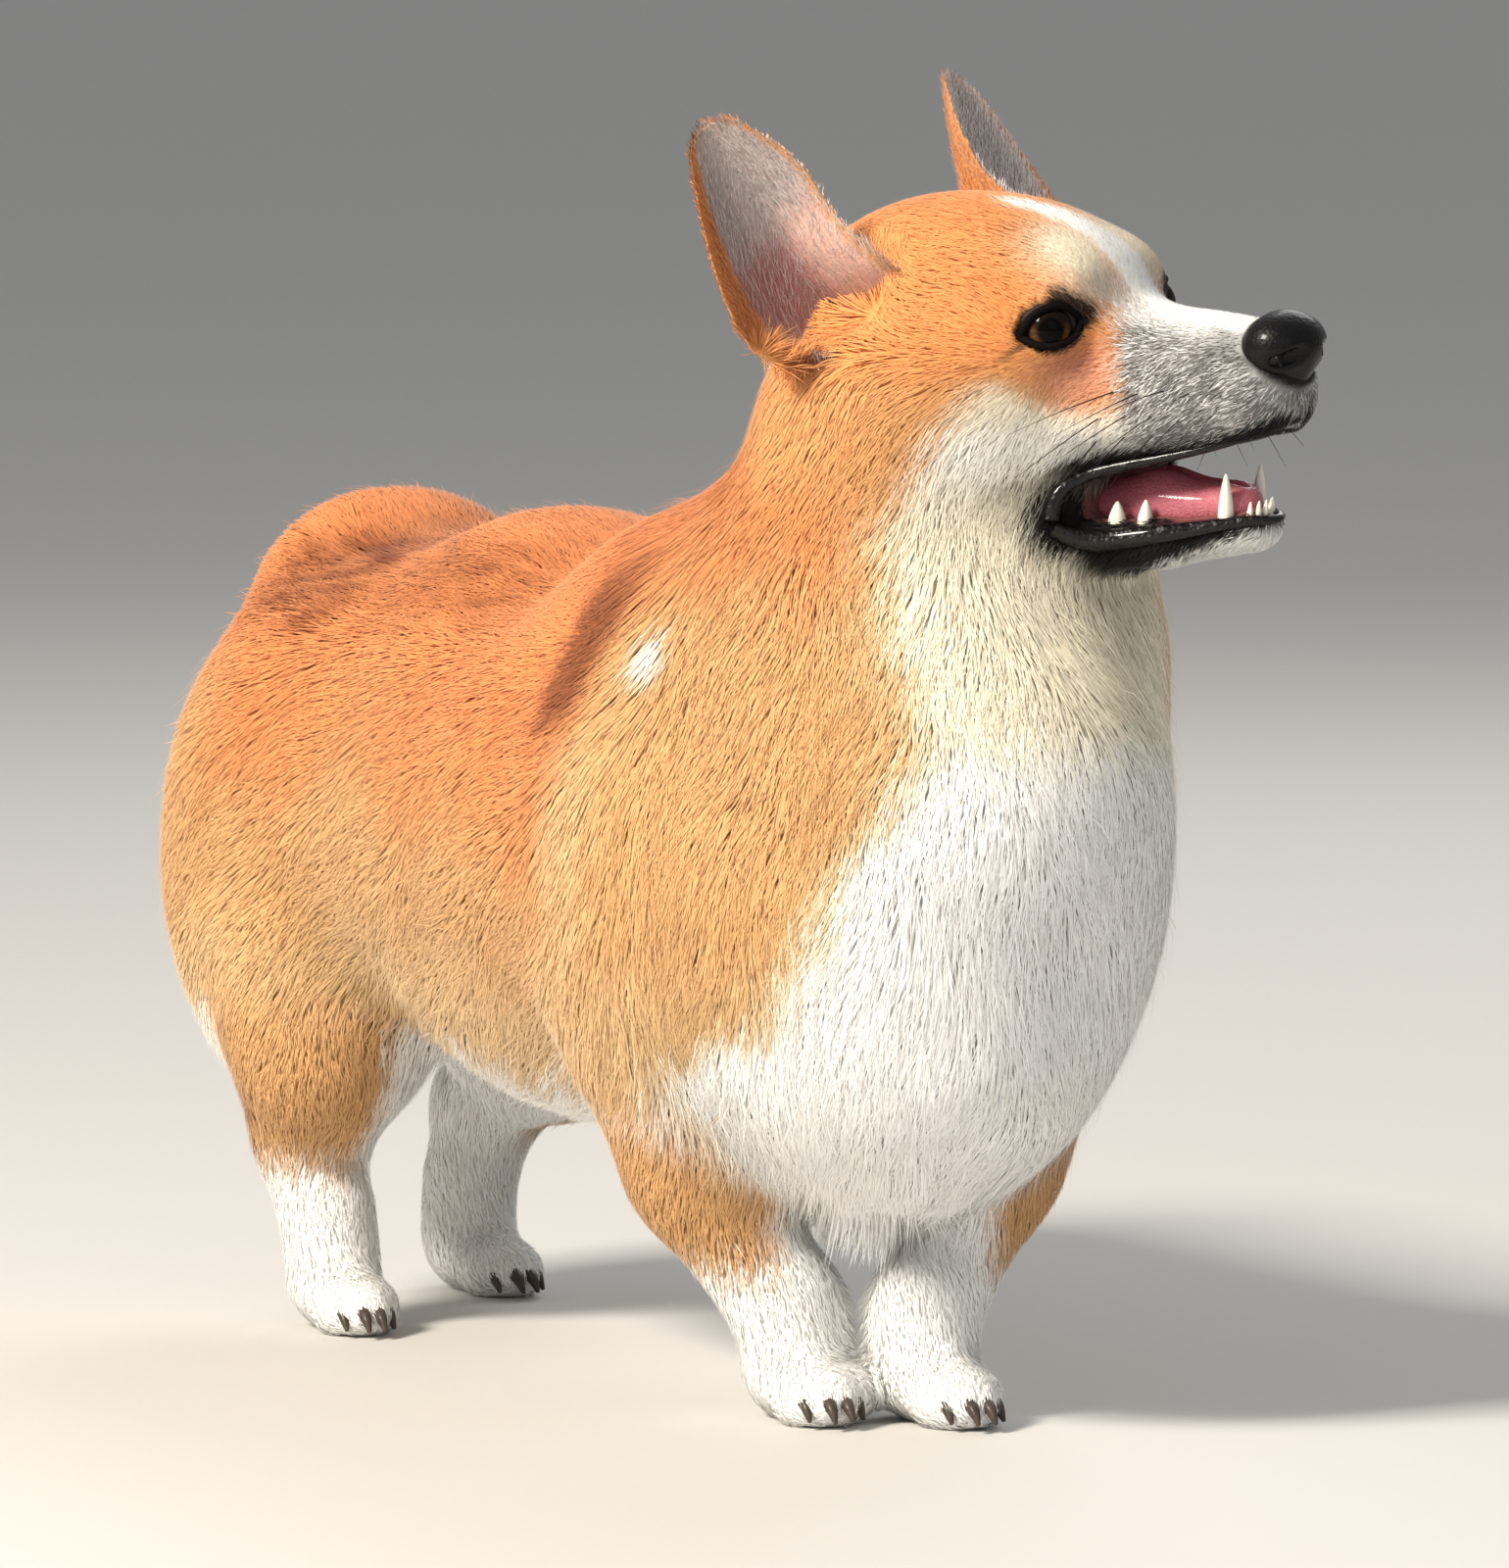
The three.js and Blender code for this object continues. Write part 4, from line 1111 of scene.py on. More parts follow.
def add(
    tree: bpy.types.NodeTree, kind: str, settings: dict | None = None, links: dict | None = None
) -> bpy.types.Node:
    """Adds a shader node.

    Args:
        tree: the material's node tree.
        kind: the node's type name.
        settings: values by socket name or, with a leading dot, by property name.
        links: sockets to link from, by the name of the input.

    Returns:
        The node.
    """
    node = tree.nodes.new(kind)
    for name, value in (settings or {}).items():
        if name.startswith("."):
            setattr(node, name[1:], value)
        else:
            node.inputs[name].default_value = value
    for name, socket in (links or {}).items():
        tree.links.new(socket, node.inputs[name])
    return node


def new_material(name: str) -> tuple[bpy.types.Material, bpy.types.NodeTree]:
    """An empty material and its node tree."""
    material = bpy.data.materials.new(name)
    material.use_nodes = True
    material.node_tree.nodes.clear()
    return material, material.node_tree


def painted(tree: bpy.types.NodeTree, name: str) -> bpy.types.NodeSocket:
    """The colour that the mesh's own attribute holds."""
    return add(tree, "ShaderNodeAttribute", {".attribute_name": name}).outputs["Color"]


def texture(tree: bpy.types.NodeTree, kind: str, settings: dict) -> bpy.types.Node:
    """A texture that is laid on by the object's own coordinates, in metres."""
    place = add(tree, "ShaderNodeTexCoord")
    return add(tree, kind, settings, {"Vector": place.outputs["Object"]})


def raised(
    tree: bpy.types.NodeTree, height: bpy.types.NodeSocket, strength: float, distance: float
) -> bpy.types.NodeSocket:
    """The normals of a fine relief, whose height is given in metres by distance."""
    settings = {"Strength": strength, "Distance": distance}
    return add(tree, "ShaderNodeBump", settings, {"Height": height}).outputs["Normal"]


def close(tree: bpy.types.NodeTree, settings: dict, links: dict) -> None:
    """Ends a material with a principled shader of the settings and links."""
    shader = add(tree, "ShaderNodeBsdfPrincipled", settings, links)
    add(tree, "ShaderNodeOutputMaterial", links={"Surface": shader.outputs[0]})


@dataclass(frozen=True)
class HairFinish:
    """Guard hair of a double coat: dry and matt, with a soft sheen along the strands."""

    name: str = "dog_guard_hair"
    roughness: float = 0.78

    def make(self) -> bpy.types.Material:
        """Builds the material, which takes its colour from the tufts."""
        material, tree = new_material(self.name)
        settings = {
            "Roughness": self.roughness,
            "IOR": 1.55,
            "Specular IOR Level": 0.16,
            "Sheen Weight": 0.15,
            "Sheen Roughness": 0.5,
        }
        close(tree, settings, {"Base Color": painted(tree, "Coat")})
        return material


@dataclass(frozen=True)
class SkinFinish:
    """Skin under the coat: matt, with the coat's markings and a fine down that shows as bump."""

    name: str = "dog_skin"

    def make(self) -> bpy.types.Material:
        """Builds the material, which takes its colour from the skin's own attribute."""
        material, tree = new_material(self.name)
        down = texture(tree, "ShaderNodeTexNoise", {"Scale": 900.0, "Detail": 3.0})
        relief = raised(tree, down.outputs["Fac"], 0.5, 0.0006)
        settings = {"Roughness": 0.65, "IOR": 1.45, "Specular IOR Level": 0.15}
        close(tree, settings, {"Base Color": painted(tree, "Coat"), "Normal": relief})
        return material


@dataclass(frozen=True)
class WetFinish:
    """Moist skin or horn: one colour broken by a fine mottle, with a clear wet coat over it.

    grain is the size of its pebbles in millimetres, and relief their height in metres.
    """

    name: str
    colour: str
    second: str
    roughness: float
    coat: float = 0.6
    grain: float = 1.4
    relief: float = 0.0003
    subsurface: float = 0.0
    shine: float = 0.25

    def make(self) -> bpy.types.Material:
        """Builds the material."""
        material, tree = new_material(self.name)
        scale = 1 / (self.grain * MM)
        pebbles = texture(tree, "ShaderNodeTexVoronoi", {"Scale": scale})
        patches = texture(tree, "ShaderNodeTexNoise", {"Scale": scale * 0.35, "Detail": 4.0})
        mix = add(tree, "ShaderNodeMix", {".data_type": "RGBA"})
        mix.inputs[6].default_value = (*linear(self.colour), 1)
        mix.inputs[7].default_value = (*linear(self.second), 1)
        tree.links.new(patches.outputs["Fac"], mix.inputs[0])
        relief = raised(tree, pebbles.outputs["Distance"], 0.8, self.relief)
        settings = {
            "Roughness": self.roughness,
            "IOR": 1.42,
            "Specular IOR Level": self.shine,
            "Coat Weight": self.coat,
            "Coat Roughness": 0.1,
            "Subsurface Weight": self.subsurface,
        }
        close(tree, settings, {"Base Color": mix.outputs[2], "Normal": relief})
        return material


@dataclass(frozen=True)
class EyeFinish:
    """A wet eyeball: the pupil, the brown iris and the dark limbus under a clear cornea."""

    name: str = "eye_wet_cornea"

    def make(self) -> bpy.types.Material:
        """Builds the material, which takes its colour from the eyeball's own attribute."""
        material, tree = new_material(self.name)
        settings = {
            "Roughness": 0.5,
            "IOR": 1.38,
            "Specular IOR Level": 0.02,
            "Coat Weight": 0.16,
            "Coat Roughness": 0.015,
        }
        close(tree, settings, {"Base Color": painted(tree, "Iris")})
        return material


class Finish(Enum):
    """The finishes of the pieces."""

    HAIR = HairFinish()
    SKIN = SkinFinish()
    EYE = EyeFinish()
    NOSE = WetFinish("nose_leather_wet", "#060505", "#0E0C0C", 0.45, 0.16, 1.3, 0.0002, 0.0, 0.18)
    LIP = WetFinish("lip_black_moist", "#080606", "#130E0D", 0.4, 0.4, 1.8, 0.0007)
    LID = WetFinish("lid_skin_black", "#0B0909", "#14100F", 0.75, 0.0, 1.0, 0.0001, 0.0, 0.06)
    TONGUE = WetFinish("tongue_moist", "#A85460", "#C87680", 0.45, 0.25, 0.8, 0.0003, 0.1)
    TOOTH = WetFinish("tooth_enamel", "#EDE6D2", "#F4EFE2", 0.25, 0.4, 2.5, 0.00005)
    CLAW = WetFinish("claw_horn", "#2E2723", "#5A4E44", 0.45, 0.1, 1.2, 0.0001)
    WHISKER = WetFinish("whisker_hair", "#1C1816", "#2A2421", 0.5, 0.0, 1.2, 0.00001)

    @property
    def material(self) -> bpy.types.Material:
        """The finish's material, built the first time that it is asked for."""
        return bpy.data.materials.get(self.value.name) or self.value.make()


# The model


@dataclass
class Maker:
    """What every sub-assembly needs: the anatomy, the pelt and the place in the CAD frame."""

    anatomy: Anatomy
    pelt: Pelt
    placing: Placing

    def finish(self, thing: Object, finish: Finish, slot: str, *nodes: str) -> Object:
        """Places a piece in the CAD frame and dresses it.

        Args:
            thing: the piece, in modelling millimetres.
            finish: its finish.
            slot: the record's material slot; not used.
            nodes: the CAD nodes that it stands for.

        Returns:
            The piece.
        """
        places = self.placing.metres(spots_of(thing.data))
        places[:, 2] = np.maximum(places[:, 2], 0.0)
        put_spots(thing.data, places)
        shade_smooth(thing.data)
        thing.data.materials.clear()
        return self.dress(thing, finish, slot, *nodes)

    @staticmethod
    def dress(thing: Object, finish: Finish, slot: str, *nodes: str) -> Object:
        """Gives a placed piece its finish, and gives the piece to the body."""
        thing.data.materials.append(finish.material)
        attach(thing, "root")
        if nodes:
            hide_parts(*nodes)
        log.info("%s: %d vertices", thing.name, len(thing.data.vertices))
        return thing


def hand(side: int) -> str:
    """The name of the dog's right side, -1, or its left side, 1."""
    return "right" if side < 0 else "left"


@dataclass
class Skin:
    """The skin over the whole body, without the ears."""

    maker: Maker
    voxel: float = 3.3

    def build(self) -> Object:
        """Wraps the masses, draws the skin to its depth and colours it."""
        a = self.maker.anatomy
        level = self.maker.pelt.skin_level
        forms = [a.torso, a.neck, a.head, a.jaw, a.tail, *a.legs.values(), *a.paws.values()]
        thing = beads_mesh("skin", forms, self.voxel)
        mesh = thing.data
        spots = settle(spots_of(mesh), a.slope, level, 3, 4)
        spots = eased(mesh, spots, 3)
        put_spots(mesh, settle(spots, a.slope, level, 2))
        self.refine(thing)
        fine = partial(a.slope, step=0.25)
        spots = settle(spots_of(mesh), fine, level, 3, 2)
        spots = eased(mesh, spots, 1, 0.4)
        spots = settle(spots, fine, level, 3, 1)
        put_spots(mesh, spots)
        self.colour(mesh, spots)
        self.unwrap(thing)
        nodes = ["torso", "neck", "head", "lower_jaw", "tail"]
        nodes += [f"leg_{name}" for name in a.legs]
        nodes += [f"paw_{name}" for name in a.paws]
        return self.maker.finish(thing, Finish.SKIN, "coat_red", *nodes)

    def refine(self, thing: Object) -> None:
        """Divides the faces of the head, and then those round the eyes once more."""
        head = self.maker.anatomy.head
        for round_eyes in (False, True):
            bm = bmesh.new()
            bm.from_mesh(thing.data)
            middles = np.array([f.calc_center_median() for f in bm.faces])
            hx, hy, hz = head.local(middles).T
            if round_eyes:
                chosen = (hx > 22) & (hx < 56) & (np.abs(hy) > 14) & (hz > -18) & (hz < 12)
            else:
                chosen = (hx > -25) & (hz > -98) & (np.abs(hy) < 62) & (head.distance(middles) < 12)
            edges = {e for f, c in zip(bm.faces, chosen) if c for e in f.edges}
            bmesh.ops.subdivide_edges(bm, edges=list(edges), cuts=1, use_grid_fill=True, smooth=0)
            bmesh.ops.triangulate(bm, faces=[f for f in bm.faces if len(f.verts) > 4])
            bm.to_mesh(thing.data)
            bm.free()

    def colour(self, mesh: bpy.types.Mesh, spots: Array) -> None:
        """Gives the skin the coat's markings a little darker, as painted shade where it shows between the
        tufts, and black or pink where it is bare.
        """
        a = self.maker.anatomy
        pelt = self.maker.pelt
        q = a.head.local(spots)
        bare = pelt.bare(spots)
        mouth = ramp(a.palate.distance(q), 2.5, 0.5) * (q[:, 0] > 28) + (q[:, 2] < -55) * bare
        tone = over(linear("#1D1817"), linear("#7A4A48"), mouth)
        tone = np.where((q[:, 0] < 0)[:, None], linear("#9A6A60"), tone)
        # The markings at 0.9 are painted shade for the skin seen deep between the tufts.
        colour_mesh(mesh, "Coat", over(pelt.markings(spots) * 0.9, tone, bare))

    @staticmethod
    def unwrap(thing: Object) -> None:
        """Lays a skin's own shape out flat, as the map that the coat's patches sit on."""
        bpy.context.view_layer.objects.active = thing
        thing.select_set(True)
        bpy.ops.object.mode_set(mode="EDIT")
        bpy.ops.mesh.select_all(action="SELECT")
        bpy.ops.uv.smart_project(angle_limit=math.radians(72), island_margin=0.002)
        bpy.ops.object.mode_set(mode="OBJECT")
        thing.select_set(False)
        thing.data.uv_layers[0].name = "OFBake"


@dataclass
class Ears:
    """The two erect ears: cupped leaves from the skull to a rounded point, in the head's frame."""

    maker: Maker
    base: Spot = (-33, 48, 3)
    tip: Spot = (-59, 74, 68)
    width: float = 65
    cup: float = 24
    wall: float = 3.4
    turn_right: float = 24
    turn_left: float = 4

    def axes(self, side: int) -> tuple[Array, Array, Array, Array, float]:
        """An ear's base, its upward, opening and across directions, and its length."""
        base = np.array([self.base[0], side * self.base[1], self.base[2]], float)
        tip = np.array([self.tip[0], side * self.tip[1], self.tip[2]], float)
        turn = math.radians(self.turn_right if side < 0 else self.turn_left)
        rise = unit(tip - base)
        opening = np.array([math.cos(turn), side * math.sin(turn), 0.1])
        opening = unit(opening - rise * (opening @ rise))
        across = np.cross(rise, opening) * side
        return base, rise, opening, across, float(np.linalg.norm(tip - base))

    def leaf(self, side: int, t: Array, s: Array) -> tuple[Array, Array]:
        """The middle surface of an ear.

        Args:
            side: -1 for the right ear and 1 for the left.
            t: height along the ear, about -0.3 at its root and 1 at its tip.
            s: place across it, from -1 to 1.

        Returns:
            Points of the head's frame, and the half thickness there.
        """
        base, rise, opening, across, length = self.axes(side)
        rows = [-0.3, -0.2, -0.1, 0.0, 0.12, 0.26, 0.42, 0.58, 0.72, 0.84, 0.93, 0.98, 1.0]
        near = [0.05, 0.4, 0.58, 0.5, 0.46, 0.48, 0.58, 0.64, 0.58, 0.44, 0.3, 0.16, 0.02]
        far = [0.05, 0.35, 0.8, 1.08, 1.18, 1.1, 0.94, 0.76, 0.6, 0.46, 0.34, 0.2, 0.02]
        wide = np.where(s > 0, np.interp(t, rows, far), np.interp(t, rows, near))
        deep_rows = [-0.3, -0.12, 0.06, 0.24, 0.42, 0.6, 0.76, 0.89, 0.97, 1.0]
        deep = np.interp(t, deep_rows, [1.1, 1.08, 1, 0.88, 0.7, 0.52, 0.36, 0.22, 0.1, 0.04])
        lean = s * wide * self.width / 2 + 4 * np.sin(np.pi * t)
        hollow = (1 - np.cos(s * np.pi / 2.1)) * deep * self.cup - 0.45 * self.cup
        hollow = hollow + 10 * np.clip(-s, 0, 1) ** 1.3 * ramp(t, 0.45, 0.05)
        spots = base + t[:, None] * length * rise + lean[:, None] * across + hollow[:, None] * opening
        edge = 0.35 + 0.65 * np.sqrt(np.maximum(1 - s * s, 0))
        return spots, self.wall * edge * np.minimum(1, wide + 0.25) / 2

    def build(self) -> list[Object]:
        """Makes both ears."""
        return [self.ear(-1), self.ear(1)]

    def ear(self, side: int) -> Object:
        """One ear: a ball laid flat and bent to the leaf, its back half the outer face."""
        head = self.maker.anatomy.head
        thing = round_ball(f"ear_skin_{hand(side)}", 56, 48)
        mesh = thing.data
        ball = spots_of(mesh)
        z = np.clip(ball[:, 2], -1, 1)
        around = np.arctan2(ball[:, 1], ball[:, 0])
        level = 0.5 + np.arcsin(z) / np.pi
        t = -0.28 + 1.28 * level
        s = np.where(np.abs(z) > 0.9999, 0, np.cos(around))
        face = np.sign(np.sin(around)) * np.sqrt(np.abs(np.sin(around)))
        _, _, opening, _, _ = self.axes(side)
        middle, half = self.leaf(side, t, s)
        ahead, _ = self.leaf(side, t, np.clip(s + 0.02, -1, 1))
        behind, _ = self.leaf(side, t, np.clip(s - 0.02, -1, 1))
        above, _ = self.leaf(side, t + 0.02, s)
        below, _ = self.leaf(side, t - 0.02, s)
        normal = unit(np.cross(ahead - behind, above - below))
        normal *= np.sign(normal @ opening)[:, None]
        end = np.sqrt(np.maximum(1 - z * z, 0)) ** 0.4
        put_spots(mesh, head.out(middle + normal * (face * half * end)[:, None]))
        bm = bmesh.new()
        bm.from_mesh(mesh)
        bmesh.ops.recalc_face_normals(bm, faces=bm.faces)
        bm.to_mesh(mesh)
        bm.free()
        strip = 0.66 if side < 0 else 0.9
        edge = np.maximum(ramp(s, strip, strip + 0.08), ramp(-s, 0.88, 0.95))
        inner = ramp(face * end, -0.2, 0.6) * (1 - edge)
        mauve = linear("#A06C68") * ramp(t, 0.55, 0.3)[:, None]
        hollow = mauve + linear("#B4A49E") * ramp(t, 0.3, 0.55)[:, None]
        hollow = over(hollow, linear("#CFA696"), ramp(-s, 0.2, 0.6) * ramp(t, 0.6, 0.4))
        # The ear's outer skin is the coat's orange at 0.7: painted shade for where it shows between the
        # tufts.
        colour_mesh(mesh, "Coat", over(TONES["orange"] * 0.7, hollow, inner))
        for name, values in (("inner", inner), ("height", t)):
            layer = mesh.attributes.new(name, "FLOAT", "POINT")
            layer.data.foreach_set("value", values.astype(np.float32))
        Skin.unwrap(thing)
        return self.maker.finish(thing, Finish.SKIN, "coat_red", f"ear_{hand(side)}")


@dataclass
class Eyes:
    """Eyeballs with cornea, pupil and iris, and the black wet rims of the lids."""

    maker: Maker
    iris: float = 8.3
    pupil: float = 4.0
    gaze: Spot = (0.68, 0.73, 0.03)

    def build(self) -> list[Object]:
        """Makes both eyes and their rims."""
        made = []
        for eye in self.maker.anatomy.eyes:
            made.append(self.eyeball(eye))
            made.append(self.rim(eye))
        return made

    def eyeball(self, eye: Eye) -> Object:
        """One eyeball, with its pole along the gaze."""
        head = self.maker.anatomy.head
        thing = round_ball(f"eyeball_{hand(eye.side)}", 64, 64)
        ball = spots_of(thing.data)
        away = np.arccos(np.clip(ball[:, 2], -1, 1)) * eye.radius
        cornea = 0.9 * ramp(away, self.iris + 1, 1.0)
        spots = ball * (eye.radius + cornea)[:, None]
        gaze = unit(np.array([self.gaze[0], self.gaze[1] * eye.side, self.gaze[2]]))
        aside = unit(np.cross([0, 0, 1], gaze))
        axes = np.stack([aside, np.cross(gaze, aside), gaze])
        put_spots(thing.data, head.out(spots @ axes + eye.centre))
        around = np.arctan2(ball[:, 1], ball[:, 0])
        streak = 0.5 + 0.5 * np.sin(around * 23 + np.sin(around * 7) * 2)
        # Painted light: the iris's lighter brown shows only on its lower half, where light through the
        # cornea falls.
        ring = bump(away, 5.8, 2.2) * (0.3 + 0.35 * streak) * ramp(-np.sin(around), -0.7, 0.4)
        colour = layered(
            np.ones((len(ball), 1)) * linear("#3A3230"),
            (linear("#060403"), ramp(away, self.iris + 0.9, self.iris + 0.2)),
            (linear("#150D07"), ramp(away, self.iris, self.iris - 0.9)),
            # Painted light: the lit lower half of the iris.
            (linear("#7A5228"), ring),
            (linear("#020101"), ramp(away, self.pupil + 0.35, self.pupil - 0.2)),
        )
        colour_mesh(thing.data, "Iris", colour)
        return self.maker.finish(thing, Finish.EYE, "eye", f"eye_{hand(eye.side)}")

    def rim(self, eye: Eye) -> Object:
        """The bare black edge of the lids, a tube round the opening that lies on the eyeball."""
        head = self.maker.anatomy.head
        half_width = eye.half_width + 0.8
        half_height = eye.half_height + 0.5
        spots = []
        radii = []
        for angle in np.linspace(0, 2 * np.pi, 41):
            u = math.cos(angle) * half_width
            share = min(abs(u) / half_width, 1)
            half = half_height * (1 - share**2.4) ** 0.8
            v = math.copysign(half, math.sin(angle)) * (1.3 if math.sin(angle) > 0 else 0.9)
            out = math.sqrt(max((eye.radius + 0.9) ** 2 - u * u - v * v, 1))
            spots.append(eye.centre + eye.across * u + eye.up * v + eye.look * out)
            radii.append(1.25 + 0.4 * share**3)
        thing = tube(f"lid_rim_{hand(eye.side)}", head.out(np.array(spots)), radii)
        return self.maker.finish(thing, Finish.LID, "nose_leather")


def shaped(name: str, form: Form, voxel: float, rounds: int = 4) -> Object:
    """A form as its own closed mesh, drawn to the field of its masses."""
    thing = beads_mesh(name, [form], voxel)
    slope = partial(field_slope, form.distance, step=0.2)
    spots = settle(spots_of(thing.data), slope, 0.0, rounds, 1.5)
    spots = eased(thing.data, spots, 1)
    put_spots(thing.data, settle(spots, slope, 0.0, 2, 0.6))
    return thing


@dataclass
class Muzzle:
    """Nose, lips, teeth, tongue and whiskers, in the head's frame."""

    maker: Maker
    tooth_root: float = -73

    def build(self) -> list[Object]:
        """Makes the pieces of the muzzle."""
        return [self.nose(), *self.lips(), self.tongue(), self.teeth(), self.whiskers()]

    def nose(self) -> Object:
        """The nose leather with its nostrils."""
        form = Form(
            [
                Ball((109, 0, -11), (12.5, 14, 11), 6),
                Ball((106, 0, -19), (10, 8, 9), 6),
                *both_sides(lambda s: Ball((108, 8 * s, -12), (9, 7, 8), 5)),
            ],
            HEAD,
            both_sides(lambda s: Limb((123, 6.5 * s, -13), 3.2, (113, 12.5 * s, -15), 2, 1.5)),
        )
        thing = shaped("nose_leather", form, 0.7, 6)
        return self.maker.finish(thing, Finish.NOSE, "nose_leather", "nose")

    def lips(self) -> list[Object]:
        """The upper and lower lip lines, one tube each from corner to corner."""
        head = self.maker.anatomy.head
        made = []
        for name, half in LIPS.items():
            rows = np.array([(x, -y, z, size) for x, y, z, size in half[::-1]] + half, float)
            thing = tube(name, head.out(rows[:, :3]), rows[:, 3])
            made.append(self.maker.finish(thing, Finish.LIP, "nose_leather"))
        return made

    def tongue(self) -> Object:
        """The tongue, with a groove along its middle."""
        form = Form(
            [
                Limb((20, 0, -70), 10, (60, 0, -64), 9, 10),
                Limb((60, 0, -64), 9, (89, 0, -64.5), 5.5, 10),
                *both_sides(lambda s: Limb((24, 7 * s, -70), 8, (86, 4 * s, -64.5), 5, 8)),
            ],
            HEAD,
            [Limb((30, 0, -54.5), 1.5, (90, 0, -57.5), 1.2, 3)],
        )
        thing = shaped("tongue_flesh", form, 1.0)
        return self.maker.finish(thing, Finish.TONGUE, "tongue", "tongue")

    def teeth(self) -> Object:
        """The canines, cheek teeth and incisors of the lower jaw."""
        head = self.maker.anatomy.head
        root = self.tooth_root
        rows: list[tuple[Spot, Spot, float]] = []
        for s in (-1, 1):
            rows.append(((88, 9.3 * s, root + 1), (90, 10.3 * s, -53), 2.8))
            for i, x in enumerate((51, 61)):
                start = (x, s * (18 - 1.6 * i), root)
                end = (x + 1.5, s * (18.6 - 1.8 * i), -62.0 + 0.5 * i)
                rows.append((start, end, 3.4 - 0.4 * i))
            for y in (1.4, 4, 6.3):
                start = (97.8 - 0.07 * y * y, s * y, root + 1)
                rows.append((start, (99.5 - 0.08 * y * y, s * y, -62.5), 1.5))
        made = []
        for number, (start, end, radius) in enumerate(rows):
            a = np.array(start, float)
            b = np.array(end, float)
            stations = np.array([a, a + (b - a) * 0.35, a + (b - a) * 0.7, a + (b - a) * 0.92, b])
            sizes = [radius, radius, 0.68 * radius, 0.34 * radius, 0.12 * radius]
            made.append(tube(f"tooth_{number}", head.out(stations), sizes))
        return self.maker.finish(joined("teeth", made), Finish.TOOTH, "coat_white")

    def whiskers(self) -> Object:
        """Whiskers of the upper lips, each a fine tapered tube that droops."""
        head = self.maker.anatomy.head
        draw = np.random.default_rng(11)
        radii = [0.28, 0.24, 0.18, 0.12, 0.05]
        made = []
        for s, row, i in ((s, row, i) for s in (-1, 1) for row in range(3) for i in range(5)):
            x = 94 - 8.5 * i - 2 * row
            start = np.array([x, s * (13 + 0.14 * (94 - x) * 2), -24 - 5.5 * row])
            way = np.array([0.25 - 0.2 * i, s * 1.0, -0.15 - 0.28 * row])
            way = unit(way + draw.normal(0, 0.1, 3))
            length = 22 + 5 * i + draw.uniform(-4, 4)
            droop = np.array([-0.15, 0, -0.2]) * length * 0.5
            line = [start + way * length * t + droop * t * t for t in np.linspace(0, 1, 5)]
            made.append(tube(f"whisker_{s}_{row}_{i}", head.out(np.array(line)), radii, 6))
        return self.maker.finish(joined("whiskers", made), Finish.WHISKER, "nose_leather")


# The lips' lines from the middle to the corner, as places of the head's frame and sizes.
LIPS = {
    "lip_upper": [
        (112, 1, -36, 1.3),
        (106, 8.5, -38, 1.4),
        (92, 14, -43, 1.5),
        (72, 19.5, -47, 1.8),
        (54, 24, -50, 2.0),
        (45.5, 26.5, -52.5, 2.3),
        (40, 32, -55.5, 2.6),
        (37.3, 34.2, -60.5, 2.9),
        (36.8, 34.8, -66, 3.0),
    ],
    "lip_lower": [
        (102.5, 1, -69, 1.6),
        (99.5, 6.5, -68.5, 1.9),
        (91, 11, -69, 2.2),
        (75, 16.5, -71.5, 3.0),
        (66, 20.6, -72.5, 4.1),
        (56, 22.6, -73.5, 3.5),
        (48, 26, -74.5, 4.0),
        (41, 30.3, -73, 3.2),
        (37, 34.6, -69, 3.0),
    ],
}


@dataclass
class Claws:
    """Four blunt claws on each paw."""

    maker: Maker

    def build(self) -> Object:
        """Makes all the claws as one piece."""
        wide = {"fore_right": 12, "fore_left": 12, "hind_right": 11, "hind_left": 11}
        made = []
        for name, paw in self.maker.anatomy.paws.items():
            for n in (-1.5, -0.5, 0.5, 1.5):
                length = 34 if abs(n) < 1 else 27
                side = n * wide[name] / 2
                start = np.array([length + 3, side, 9.5])
                end = np.array([length + 14, side * 1.06, 3.0])
                bend = (start + end) / 2 + np.array([1.5, 0, 2.0])
                line = paw.out(np.array([start, (start + bend) / 2, bend, (bend + end) / 2, end]))
                made.append(tube(f"claw_{name}_{n}", line, [2.7, 2.6, 2.2, 1.6, 0.7]))
        return self.maker.finish(joined("claws", made), Finish.CLAW, "nose_leather")


@dataclass
class Roots:
    """Where tufts grow: their places, the map's coordinates there, and outward directions."""

    spots: Array
    places: Array
    normals: Array


def rooted(mesh: bpy.types.Mesh, per_face: Array, draw: np.random.Generator, spots: Array) -> Roots:
    """Draws roots on a mesh's triangles.

    Args:
        mesh: a mesh with an OFBake map.
        per_face: how many roots each loop triangle is given, on average.
        draw: the seeded draw.
        spots: the mesh's vertices in modelling millimetres.

    Returns:
        The roots.
    """
    corners = triangles_of(mesh)
    loops = triangles_of(mesh, "loops")
    places = values_of(mesh.uv_layers["OFBake"].data, "uv", 2)
    total = np.cumsum(per_face)
    number = int(total[-1])
    at = (np.arange(number) + draw.random(number)) * (total[-1] / number)
    chosen = np.searchsorted(total, at).clip(0, len(corners) - 1)
    u = draw.random(number)
    v = draw.random(number)
    past = u + v > 1
    u[past] = 1 - u[past]
    v[past] = 1 - v[past]
    share = np.stack([1 - u - v, u, v], axis=1)[:, :, None]
    tri = spots[corners[chosen]]
    normals = unit(np.cross(tri[:, 1] - tri[:, 0], tri[:, 2] - tri[:, 0]))
    return Roots((tri * share).sum(1), (places[loops[chosen]] * share).sum(1), normals)


def triangle_areas(mesh: bpy.types.Mesh, spots: Array) -> tuple[Array, Array]:
    """Areas in square centimetres, and middles, of a mesh's loop triangles."""
    tri = spots[triangles_of(mesh)]
    doubled = np.linalg.norm(np.cross(tri[:, 1] - tri[:, 0], tri[:, 2] - tri[:, 0]), axis=1)
    return doubled / 200, tri.mean(1)


